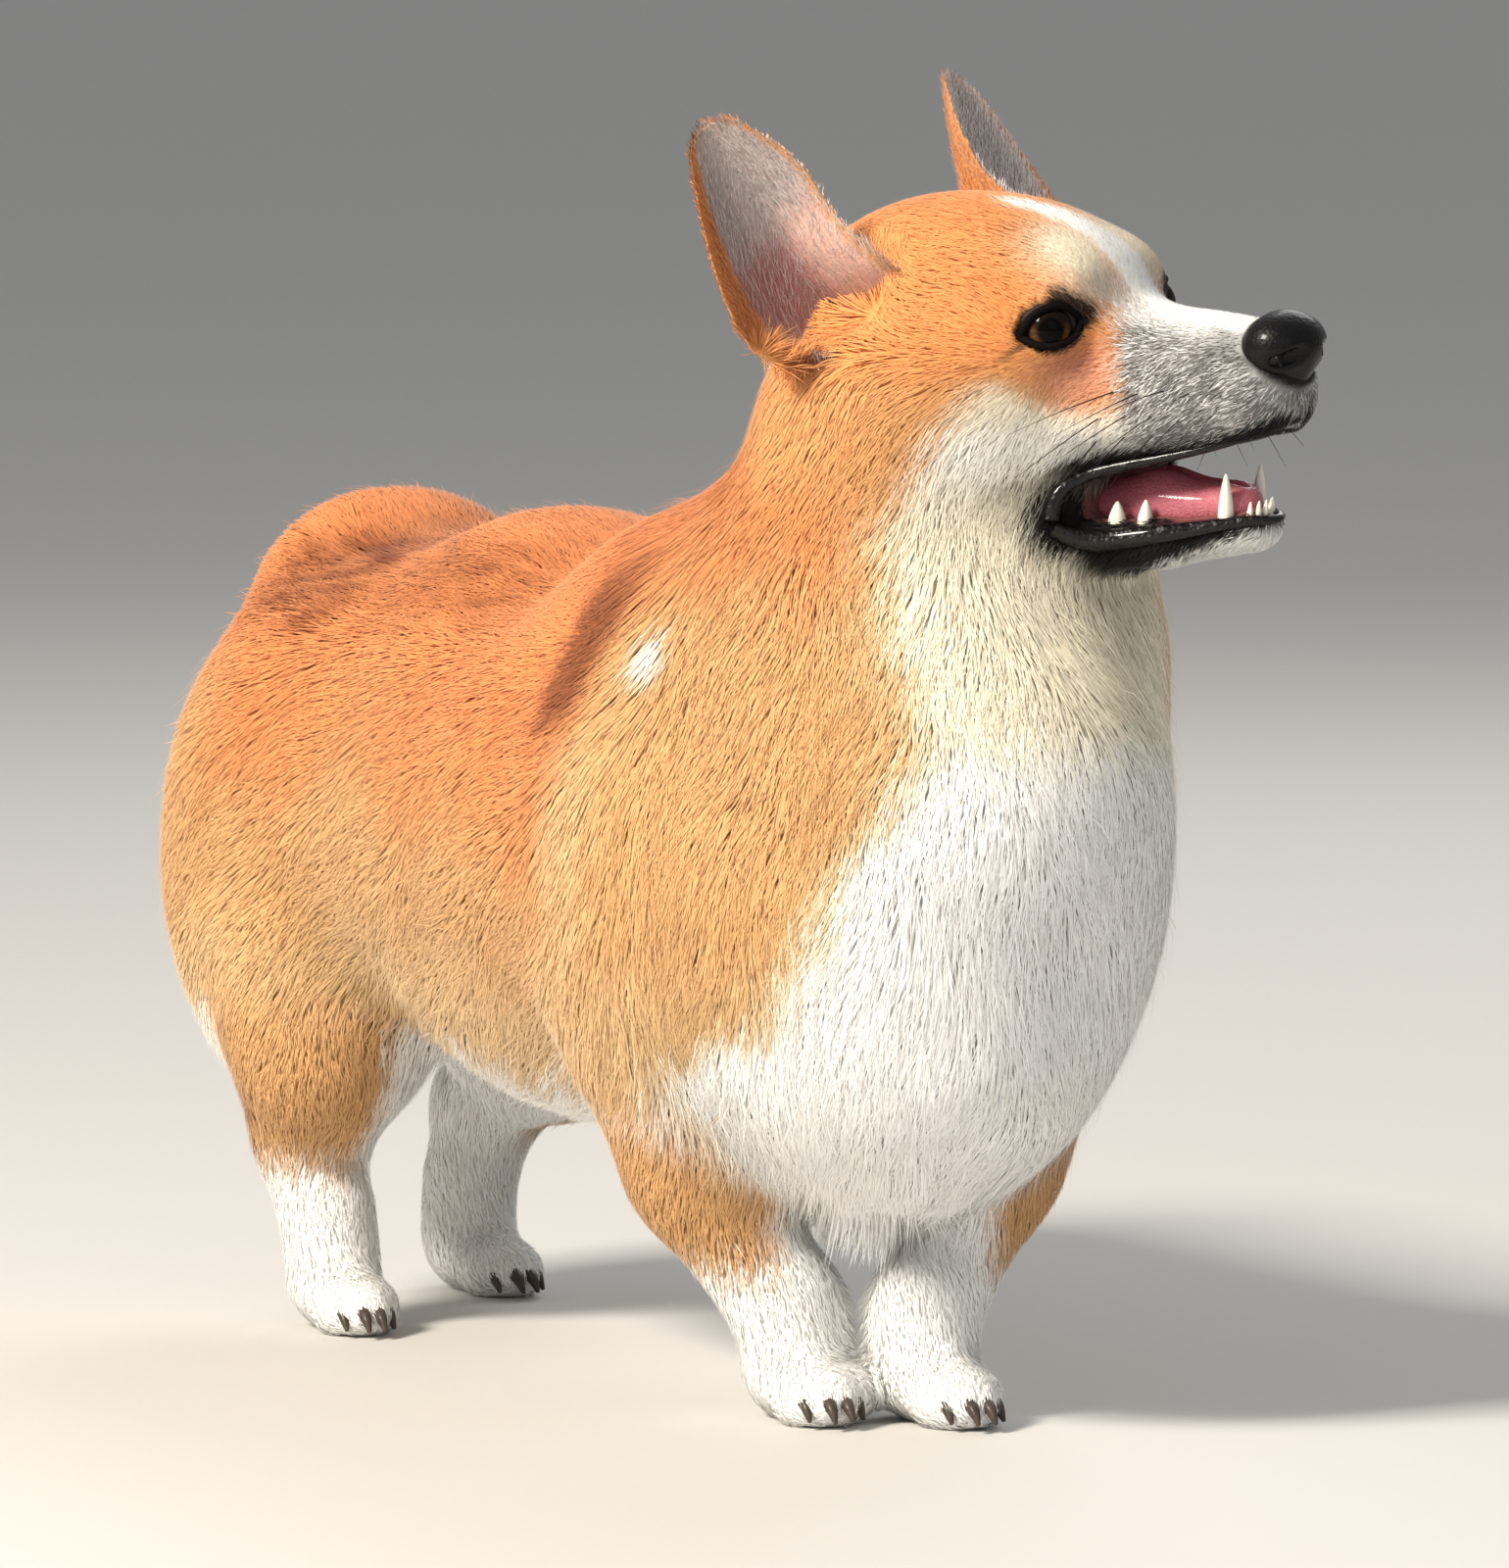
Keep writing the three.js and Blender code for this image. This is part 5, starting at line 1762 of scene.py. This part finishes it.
@dataclass
class Tufts:
    """Tufts as arrays: their lines from root to tip, sizes, colours and map places.

    flat is how thick a tuft is and round how much its normals fan out, as shares of its width, and narrowing
    how much of its width each ring loses. root_shade and tip_light are how bright its root and its tip are,
    as shares of its colour; the darker root is painted shade deep in the coat, partly the hair's own darker
    base.
    """

    lines: Array
    outs: Array
    widths: Array
    colours: Array
    places: Array
    flat: float = 0.1
    round: float = 0.22
    narrowing: float = 0.32
    root_shade: float = 0.9
    tip_light: float = 1.06

    def some(self, part: slice) -> "Tufts":
        """Part of the tufts."""
        arrays = (self.lines, self.outs, self.widths, self.colours, self.places)
        return Tufts(*[values[part] for values in arrays])

    def mesh(self, name: str, placing: Placing) -> Object:
        """Joins the tufts into one mesh, each a closed three-sided blade, pointed at both ends.

        Args:
            name: the piece's name.
            placing: the place of the modelling frame in the CAD frame.

        Returns:
            The object, in metres.
        """
        number, stations, _ = self.lines.shape
        rings = stations - 2
        step = np.diff(self.lines, axis=1)
        way = unit(step[:, :-1] + step[:, 1:])
        out = self.outs[:, 1:-1]
        out = unit(out - way * (out * way).sum(2, keepdims=True))
        aside = np.cross(way, out)
        per = rings * 3 + 2
        spots = np.empty((number, per, 3))
        spots[:, 0] = self.lines[:, 0]
        spots[:, -1] = self.lines[:, -1]
        outward = np.empty_like(spots)
        outward[:, 0] = self.outs[:, 0]
        outward[:, -1] = self.outs[:, -1]
        normals = outward.copy()
        for k in range(rings):
            half = (self.widths * (1 - self.narrowing * k) / 2)[:, None]
            for j, (across, lift) in enumerate(((1.0, -0.3), (0.0, 0.7), (-1.0, -0.3))):
                at = 1 + k * 3 + j
                push = aside[:, k] * across + out[:, k] * lift * self.flat
                spots[:, at] = self.lines[:, k + 1] + push * half
                normals[:, at] = unit(out[:, k] + aside[:, k] * across * self.round)
                outward[:, at] = out[:, k]
        faces, under = self.blade(rings)
        corners = (faces[None] + np.arange(number)[:, None, None] * per).reshape(-1)
        places = placing.metres(spots.reshape(-1, 3))
        places[:, 2] = np.maximum(places[:, 2], FLOOR_GAP)
        mesh = triangles_mesh(name, places, corners.reshape(-1, 3))
        shade_smooth(mesh)
        height = np.concatenate([[0.0], np.repeat(np.arange(1, rings + 1) / (rings + 1), 3), [1.0]])
        side = np.concatenate([[0.5], np.tile([0.0, 0.5, 1.0], rings), [0.5]])
        patch = np.stack([side, height], axis=1) * TUFT_PATCH - TUFT_PATCH / 2
        place = (self.places[:, None, :] + patch[None]).reshape(-1, 2)
        layer = mesh.uv_layers.new(name="OFBake")
        layer.data.foreach_set("uv", place[corners].astype(np.float32).ravel())
        # The root is darkened and deepened towards the colour's strongest channel: painted shade deep in the
        # coat, partly the hair's own darker base.
        deep = (self.colours / self.colours.max(1, keepdims=True).clip(1e-4)) ** 0.25 * self.root_shade
        grown = (height**0.7)[None, :, None]
        shade = deep[:, None] * (1 - grown) + self.tip_light * grown
        colour_mesh(mesh, "Coat", (self.colours[:, None] * shade).reshape(-1, 3).clip(0, 1))
        at_corners = normals[:, faces]
        turn = outward[:, faces[under]]
        below = at_corners[:, under]
        at_corners[:, under] = below - 2 * (below * turn).sum(3, keepdims=True) * turn
        mesh.normals_split_custom_set(at_corners.reshape(-1, 3))
        return linked(name, mesh)

    @staticmethod
    def blade(rings: int) -> tuple[Array, list[bool]]:
        """The triangles of one tuft, and which of them are its underside."""
        faces = []
        under = []
        last = 1 + (rings - 1) * 3
        for j in range(3):
            i = (j + 1) % 3
            under += [j == 2] * (2 * rings)
            faces.append((0, 1 + j, 1 + i))
            for k in range(rings - 1):
                a = 1 + k * 3 + j
                b = 1 + k * 3 + i
                faces += [(a, b + 3, b), (a, a + 3, b + 3)]
            faces.append((last + j, last + 3, last + i))
        return np.array(faces), under


@dataclass
class Coat:
    """The coat of the body and head, grown from the skin.

    most_faces is how many faces all of it has, about, and piece_faces the most that one piece has. stray is
    the share of tufts that stand off from the rest.
    """

    maker: Maker
    most_faces: int = 1_430_000
    piece_faces: int = 190_000
    seed: int = 7
    stray: float = 0.04
    long_zones: tuple[str, ...] = ("chest", "apron", "neck", "breeches", "belly", "throat")
    short_zones: tuple[str, ...] = ("face", "crown", "cheek", "chin")

    def build(self, skin: Object) -> list[Object]:
        """Grows the coat and splits it into pieces by where it grows."""
        pelt = self.maker.pelt
        draw = np.random.default_rng(self.seed)
        spots = self.maker.placing.millimetres(spots_of(skin.data))
        area, middles = triangle_areas(skin.data, spots)
        density = pelt.value(pelt.weights(middles), "density") * (1 - pelt.bare(middles))
        wanted = area * (density * np.where(middles[:, 2] < 1.2, 0, 1))
        scale = self.most_faces / (wanted * 6).sum()
        log.info("coat density is %.2f of the zones' own", scale)
        roots = rooted(skin.data, wanted * scale, draw, spots)
        zones = pelt.weights(roots.spots)
        long_share = sum(zones[n] for n in self.long_zones)
        short_share = sum(zones[n] for n in self.short_zones)
        group = np.where(long_share > 0.5, 0, np.where(short_share > 0.5, 1, 2))
        made = []
        kinds = {"coat_long": (0, 0.4, 1), "coat_head": (0, 0.42, 1), "coat_body": (0, 0.4, 1)}
        for number, (name, marks) in enumerate(kinds.items()):
            chosen = np.flatnonzero(group == number)
            chosen = chosen[np.argsort(roots.spots[chosen, 0], kind="stable")]
            part = Roots(roots.spots[chosen], roots.places[chosen], roots.normals[chosen])
            tufts = self.grow(part, {n: w[chosen] for n, w in zones.items()}, marks, draw)
            made.extend(self.pieces(name, tufts))
        return made

    def pieces(self, name: str, tufts: Tufts) -> list[Object]:
        """Splits tufts into meshes of a fair size and dresses them."""
        each = 6 * (tufts.lines.shape[1] - 2)
        most = self.piece_faces // each
        made = []
        for i, start in enumerate(range(0, len(tufts.lines), most)):
            thing = tufts.some(slice(start, start + most)).mesh(f"{name}_{i + 1}", self.maker.placing)
            made.append(self.maker.dress(thing, Finish.HAIR, "coat_red"))
        return made

    def grow(
        self, roots: Roots, zones: dict[str, Array], marks: Sequence[float], draw: np.random.Generator
    ) -> Tufts:
        """Leads each tuft from its root along the lie of the coat.

        Args:
            roots: where the tufts start.
            zones: the coat zones' weights there.
            marks: the points of each line, as shares of its length.
            draw: the seeded draw.

        Returns:
            The tufts.
        """
        pelt = self.maker.pelt
        number = len(roots.spots)
        value = {n: pelt.value(zones, n) for n in ("length", "width", "depth", "stand", "clump", "free")}
        depth = value["depth"]
        free = value["free"]
        length = value["length"] * draw.uniform(0.7, 1.15, number)
        width = value["width"] * draw.uniform(0.7, 1.3, number)
        stand = value["stand"] * draw.uniform(0.05, 0.5, number)
        stray = draw.random(number) < self.stray
        stand = stand + stray * np.minimum(value["length"] * 0.14, 4.5) * draw.uniform(0.3, 1.3, number)
        width = np.where(stray, width * 0.36, width)
        twist = draw.normal(0, 0.22, number)
        lie = pelt.lie(roots.spots, zones)
        at = roots.spots.copy()
        lines = np.empty((number, len(marks), 3))
        outs = np.empty_like(lines)
        for k, t in enumerate(marks):
            d, g = self.maker.anatomy.slope(at, 0.4)
            steep = np.maximum(np.linalg.norm(g, axis=1), LEAST_STEEP)
            out = unit(g / steep[:, None] * 0.9 + roots.normals * 0.1)
            rise = 1 - (1 - t) ** 2
            level = -depth - 0.6 * (k == 0) + (depth + stand) * rise
            hold = 1 - free * t
            at = at + out * (np.clip(level - d, -8, 8) / steep * hold)[:, None]
            lines[:, k] = at
            outs[:, k] = out
            way = lie - out * (lie * out).sum(1, keepdims=True)
            way = unit(way + np.array([0, 0, -0.9]) * (free * t)[:, None])
            way = unit(way + np.cross(out, way) * twist[:, None])
            if k + 1 < len(marks):
                at = at + way * (length * (marks[k + 1] - t))[:, None]
        rough = draw.uniform(-1, 1, number)
        colours = pelt.markings(lines[:, 0] * 0.35 + lines[:, -1] * 0.65, rough)
        lines = self.clumped(lines, value["clump"], np.array(marks), draw)
        patch = 0.07 * mottle(roots.spots, 13) + 0.05 * mottle(roots.spots, 5)
        colours = colours * (1 + draw.normal(0, 0.07, number) + patch)[:, None]
        return Tufts(lines, outs, width, colours, roots.places)

    @staticmethod
    def clumped(
        lines: Array, share: Array, marks: Array, draw: np.random.Generator
    ) -> Array:
        """Draws the tips of neighbouring tufts together, as locks of a coat do.

        Args:
            lines: the tufts' lines.
            share: how far each tip goes to its leader's, from 0 to 1.
            marks: the points of each line, as shares of its length.
            draw: the seeded draw.

        Returns:
            The lines, drawn together.
        """
        number = len(lines)
        leaders = draw.permutation(number)[: max(1, number // 14)]
        tree = KDTree(len(leaders))
        for i, leader in enumerate(leaders):
            tree.insert(lines[leader, 0], i)
        tree.balance()
        nearest = leaders[np.array([tree.find(spot)[1] for spot in lines[:, 0]])]
        pull = lines[nearest] - lines
        return lines + pull * share[:, None, None] * (marks**1.4)[None, :, None]


@dataclass
class EarCoat:
    """The short coat on the ears' backs and the finer hair in their hollows."""

    maker: Maker
    ears: Ears
    seed: int = 21

    def build(self, skins: Sequence[Object]) -> list[Object]:
        """Grows both ears' coats."""
        return [self.ear(skin, side) for skin, side in zip(skins, (-1, 1))]

    def ear(self, skin: Object, side: int) -> Object:
        """One ear's coat."""
        placing = self.maker.placing
        head = self.maker.anatomy.head
        draw = np.random.default_rng(self.seed + side)
        mesh = skin.data
        spots = placing.millimetres(spots_of(mesh))
        area, middles = triangle_areas(mesh, spots)
        roots = rooted(mesh, area * self.density(mesh, middles, side), draw, spots)
        q = head.local(roots.spots)
        base, rise, opening, across, length = self.ears.axes(side)
        t = (q - base) @ rise / length
        place = (q - base) @ across / (self.ears.width / 2)
        rows = [-0.3, -0.1, 0.12, 0.42, 0.72, 0.93, 1.0]
        far = np.interp(t, rows, [0.3, 1.1, 1.25, 1.05, 0.75, 0.42, 0.1])
        strip = 0.7 if side < 0 else 0.95
        faces_out = (roots.normals @ head.turn) @ opening > 0.1
        hollow = faces_out & (place < strip * far) & (place > -0.62)
        number = len(q)
        low = ramp(t, 0.22, 0.02)[:, None]
        way = rise * 1.0 + across * (np.sign(place) * 0.1)[:, None]
        way = way * (1 - low) + (-0.9 * rise - 0.5 * opening + np.array([-0.3, 0, 0])) * low
        inner_way = rise * 0.8 - across * (np.sign(place) * 0.3)[:, None] + opening * 0.35
        way = head.way(unit(np.where(hollow[:, None], inner_way, way)))
        out = roots.normals
        reach = np.where(hollow, 7 - 3 * ramp(t, 0.4, 0.8), 5.0 - 1.5 * ramp(t, 0.8, 1.0))
        reach = reach * draw.uniform(0.6, 1.2, number)
        reach = reach * (1 - 0.5 * ramp(np.abs(place) / far, 0.7, 0.95) * (t > 0.25))
        reach = reach * np.where((place < -0.3) & (t > 0.2), 0.55, 1)
        reach = reach + ~hollow * low[:, 0] * draw.uniform(3, 9, number)
        lift = np.where(hollow, 0.18, 0.05 + 0.25 * low[:, 0])
        way = unit(way - out * (way * out).sum(1, keepdims=True) + out * lift[:, None])
        way = unit(way + draw.normal(0, 0.14, (number, 3)))
        stations = [
            roots.spots - out * 0.5,
            roots.spots + out * 0.4 + way * reach[:, None] * 0.5,
            roots.spots + out * 0.3 + way * reach[:, None],
        ]
        outs = np.repeat(out[:, None], 3, axis=1)
        # Painted light: the left ear's hollow hair is paler than the right's, which brightens a hollow that
        # lies in shade.
        pale, grey = (linear(c) for c in (("#E6E0DC", "#A49C98") if side < 0 else ("#F6F3F0", "#D2CCC8")))
        inner = over(np.ones((number, 1)) * pale, grey, draw.random(number) ** 0.8)
        outer = layered(
            plain(q, "orange"),
            ("croup", 0.45 * draw.random(number)),
            (linear("#8A5A34"), ramp(t, 0.86, 1.0) * 0.75 * (place > 0)),
            (pale, (0.45 if side < 0 else 0.1) * ((place < -0.35) & (t > 0.2))),
        )
        colours = np.where(hollow[:, None], inner, outer) * (1 + draw.normal(0, 0.07, number))[:, None]
        width = np.where(hollow, 0.24, 0.4) * draw.uniform(0.8, 1.2, number)
        tufts = Tufts(np.stack(stations, axis=1), outs, width, colours, roots.places)
        return self.maker.dress(tufts.mesh(f"coat_ear_{hand(side)}", placing), Finish.HAIR, "coat_red")

    def density(self, mesh: bpy.types.Mesh, middles: Array, side: int) -> Array:
        """How many tufts a square centimetre of each triangle is given."""
        corners = triangles_of(mesh)
        inside, level = (
            values_of(mesh.attributes[name].data, "value", 1, np.float32)[corners].mean(1)
            for name in ("inner", "height")
        )
        buried = self.maker.anatomy.head.distance(middles) < -4
        fuzz = 45 + 75 * ramp(level, 0.3, 0.55) + (60 if side > 0 else 0)
        return np.where(inside > 0.5, fuzz, 130) * ~buried * (level > -0.26)


@dataclass
class Studio:
    """The plain floor, the soft light and the camera, at the photograph's viewing angle.

    The angles are in degrees, the lens in millimetres, and the shift is a share of the picture's width. Each
    light has its place and size in metres, its power in watts and its colour.
    """

    placing: Placing
    azimuth: float = 65
    elevation: float = 4.5
    distance: float = 4500
    target: Spot = (0, 0, 200)
    lens: float = 303.75
    shift: float = 0.06125
    lights: tuple[tuple[str, Spot, float, float, str], ...] = (
        ("key", (0.65, -2.75, 2.5), 0.9, 226, "#FFF6EA"),
        ("fill", (3.4, -0.2, 1.4), 2.2, 8, "#EAF0FF"),
        ("rim", (-1.8, 1.8, 2.2), 1.6, 30, "#FFFFFF"),
    )

    def build(self) -> None:
        """Sets up the floor, the lights and the camera."""
        self.floor()
        self.camera()
        for light in self.lights:
            self.area(*light)
        world = bpy.data.worlds.new("studio")
        world.use_nodes = True
        back = world.node_tree.nodes["Background"]
        back.inputs["Color"].default_value = (*linear("#E9ECEF"), 1)
        back.inputs["Strength"].default_value = 0.42
        bpy.context.scene.world = world
        bpy.context.scene.view_settings.view_transform = "Standard"

    def floor(self) -> None:
        """A pale floor with a faint grain."""
        bm = bmesh.new()
        bmesh.ops.create_grid(bm, x_segments=1, y_segments=1, size=60)
        thing = from_bmesh("floor", bm)
        material, tree = new_material("floor_pale_paint")
        grain = texture(tree, "ShaderNodeTexNoise", {"Scale": 40.0, "Detail": 3.0})
        relief = raised(tree, grain.outputs["Fac"], 0.05, 0.001)
        close(tree, {"Base Color": (*linear("#CBC9C4"), 1), "Roughness": 0.75}, {"Normal": relief})
        thing.data.materials.append(material)

    def camera(self) -> None:
        """The camera, which looks at the target from its distance."""
        turn = math.radians(self.azimuth)
        lift = math.radians(self.elevation)
        away = Vector((math.sin(turn) * math.cos(lift), -math.cos(turn) * math.cos(lift), math.sin(lift)))
        target = Vector(self.placing.metres(np.array(self.target)).tolist())
        data = bpy.data.cameras.new("camera")
        data.lens = self.lens
        data.sensor_width = 36
        data.shift_x = self.shift
        data.clip_end = 50
        thing = bpy.data.objects.new("camera", data)
        thing.location = target + away * self.distance * MM
        thing.rotation_euler = (-away).to_track_quat("-Z", "Y").to_euler()
        bpy.context.scene.collection.objects.link(thing)
        bpy.context.scene.camera = thing

    @staticmethod
    def area(name: str, at: Spot, size: float, power: float, colour: str) -> None:
        """A square soft light that faces the dog."""
        data = bpy.data.lights.new(name, "AREA")
        data.size = size
        data.energy = power
        data.color = linear(colour)
        thing = bpy.data.objects.new(name, data)
        thing.location = at
        thing.rotation_euler = (Vector((0, 0, 0.2)) - Vector(at)).to_track_quat("-Z", "Y").to_euler()
        bpy.context.scene.collection.objects.link(thing)


def main() -> None:
    """Builds the model in order."""
    logging.basicConfig(level=logging.INFO, format="%(relativeCreated)6d ms %(message)s")
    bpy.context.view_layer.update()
    anatomy = Anatomy()
    placing = Placing.from_frame(anatomy)
    maker = Maker(anatomy, Pelt(anatomy), placing)
    Studio(placing).build()
    skin = Skin(maker).build()
    ears = Ears(maker)
    ear_skins = ears.build()
    Eyes(maker).build()
    Muzzle(maker).build()
    Claws(maker).build()
    Coat(maker).build(skin)
    EarCoat(maker, ears).build(ear_skins)
    log.info("all pieces made")


if __name__ == "__main__":
    main()
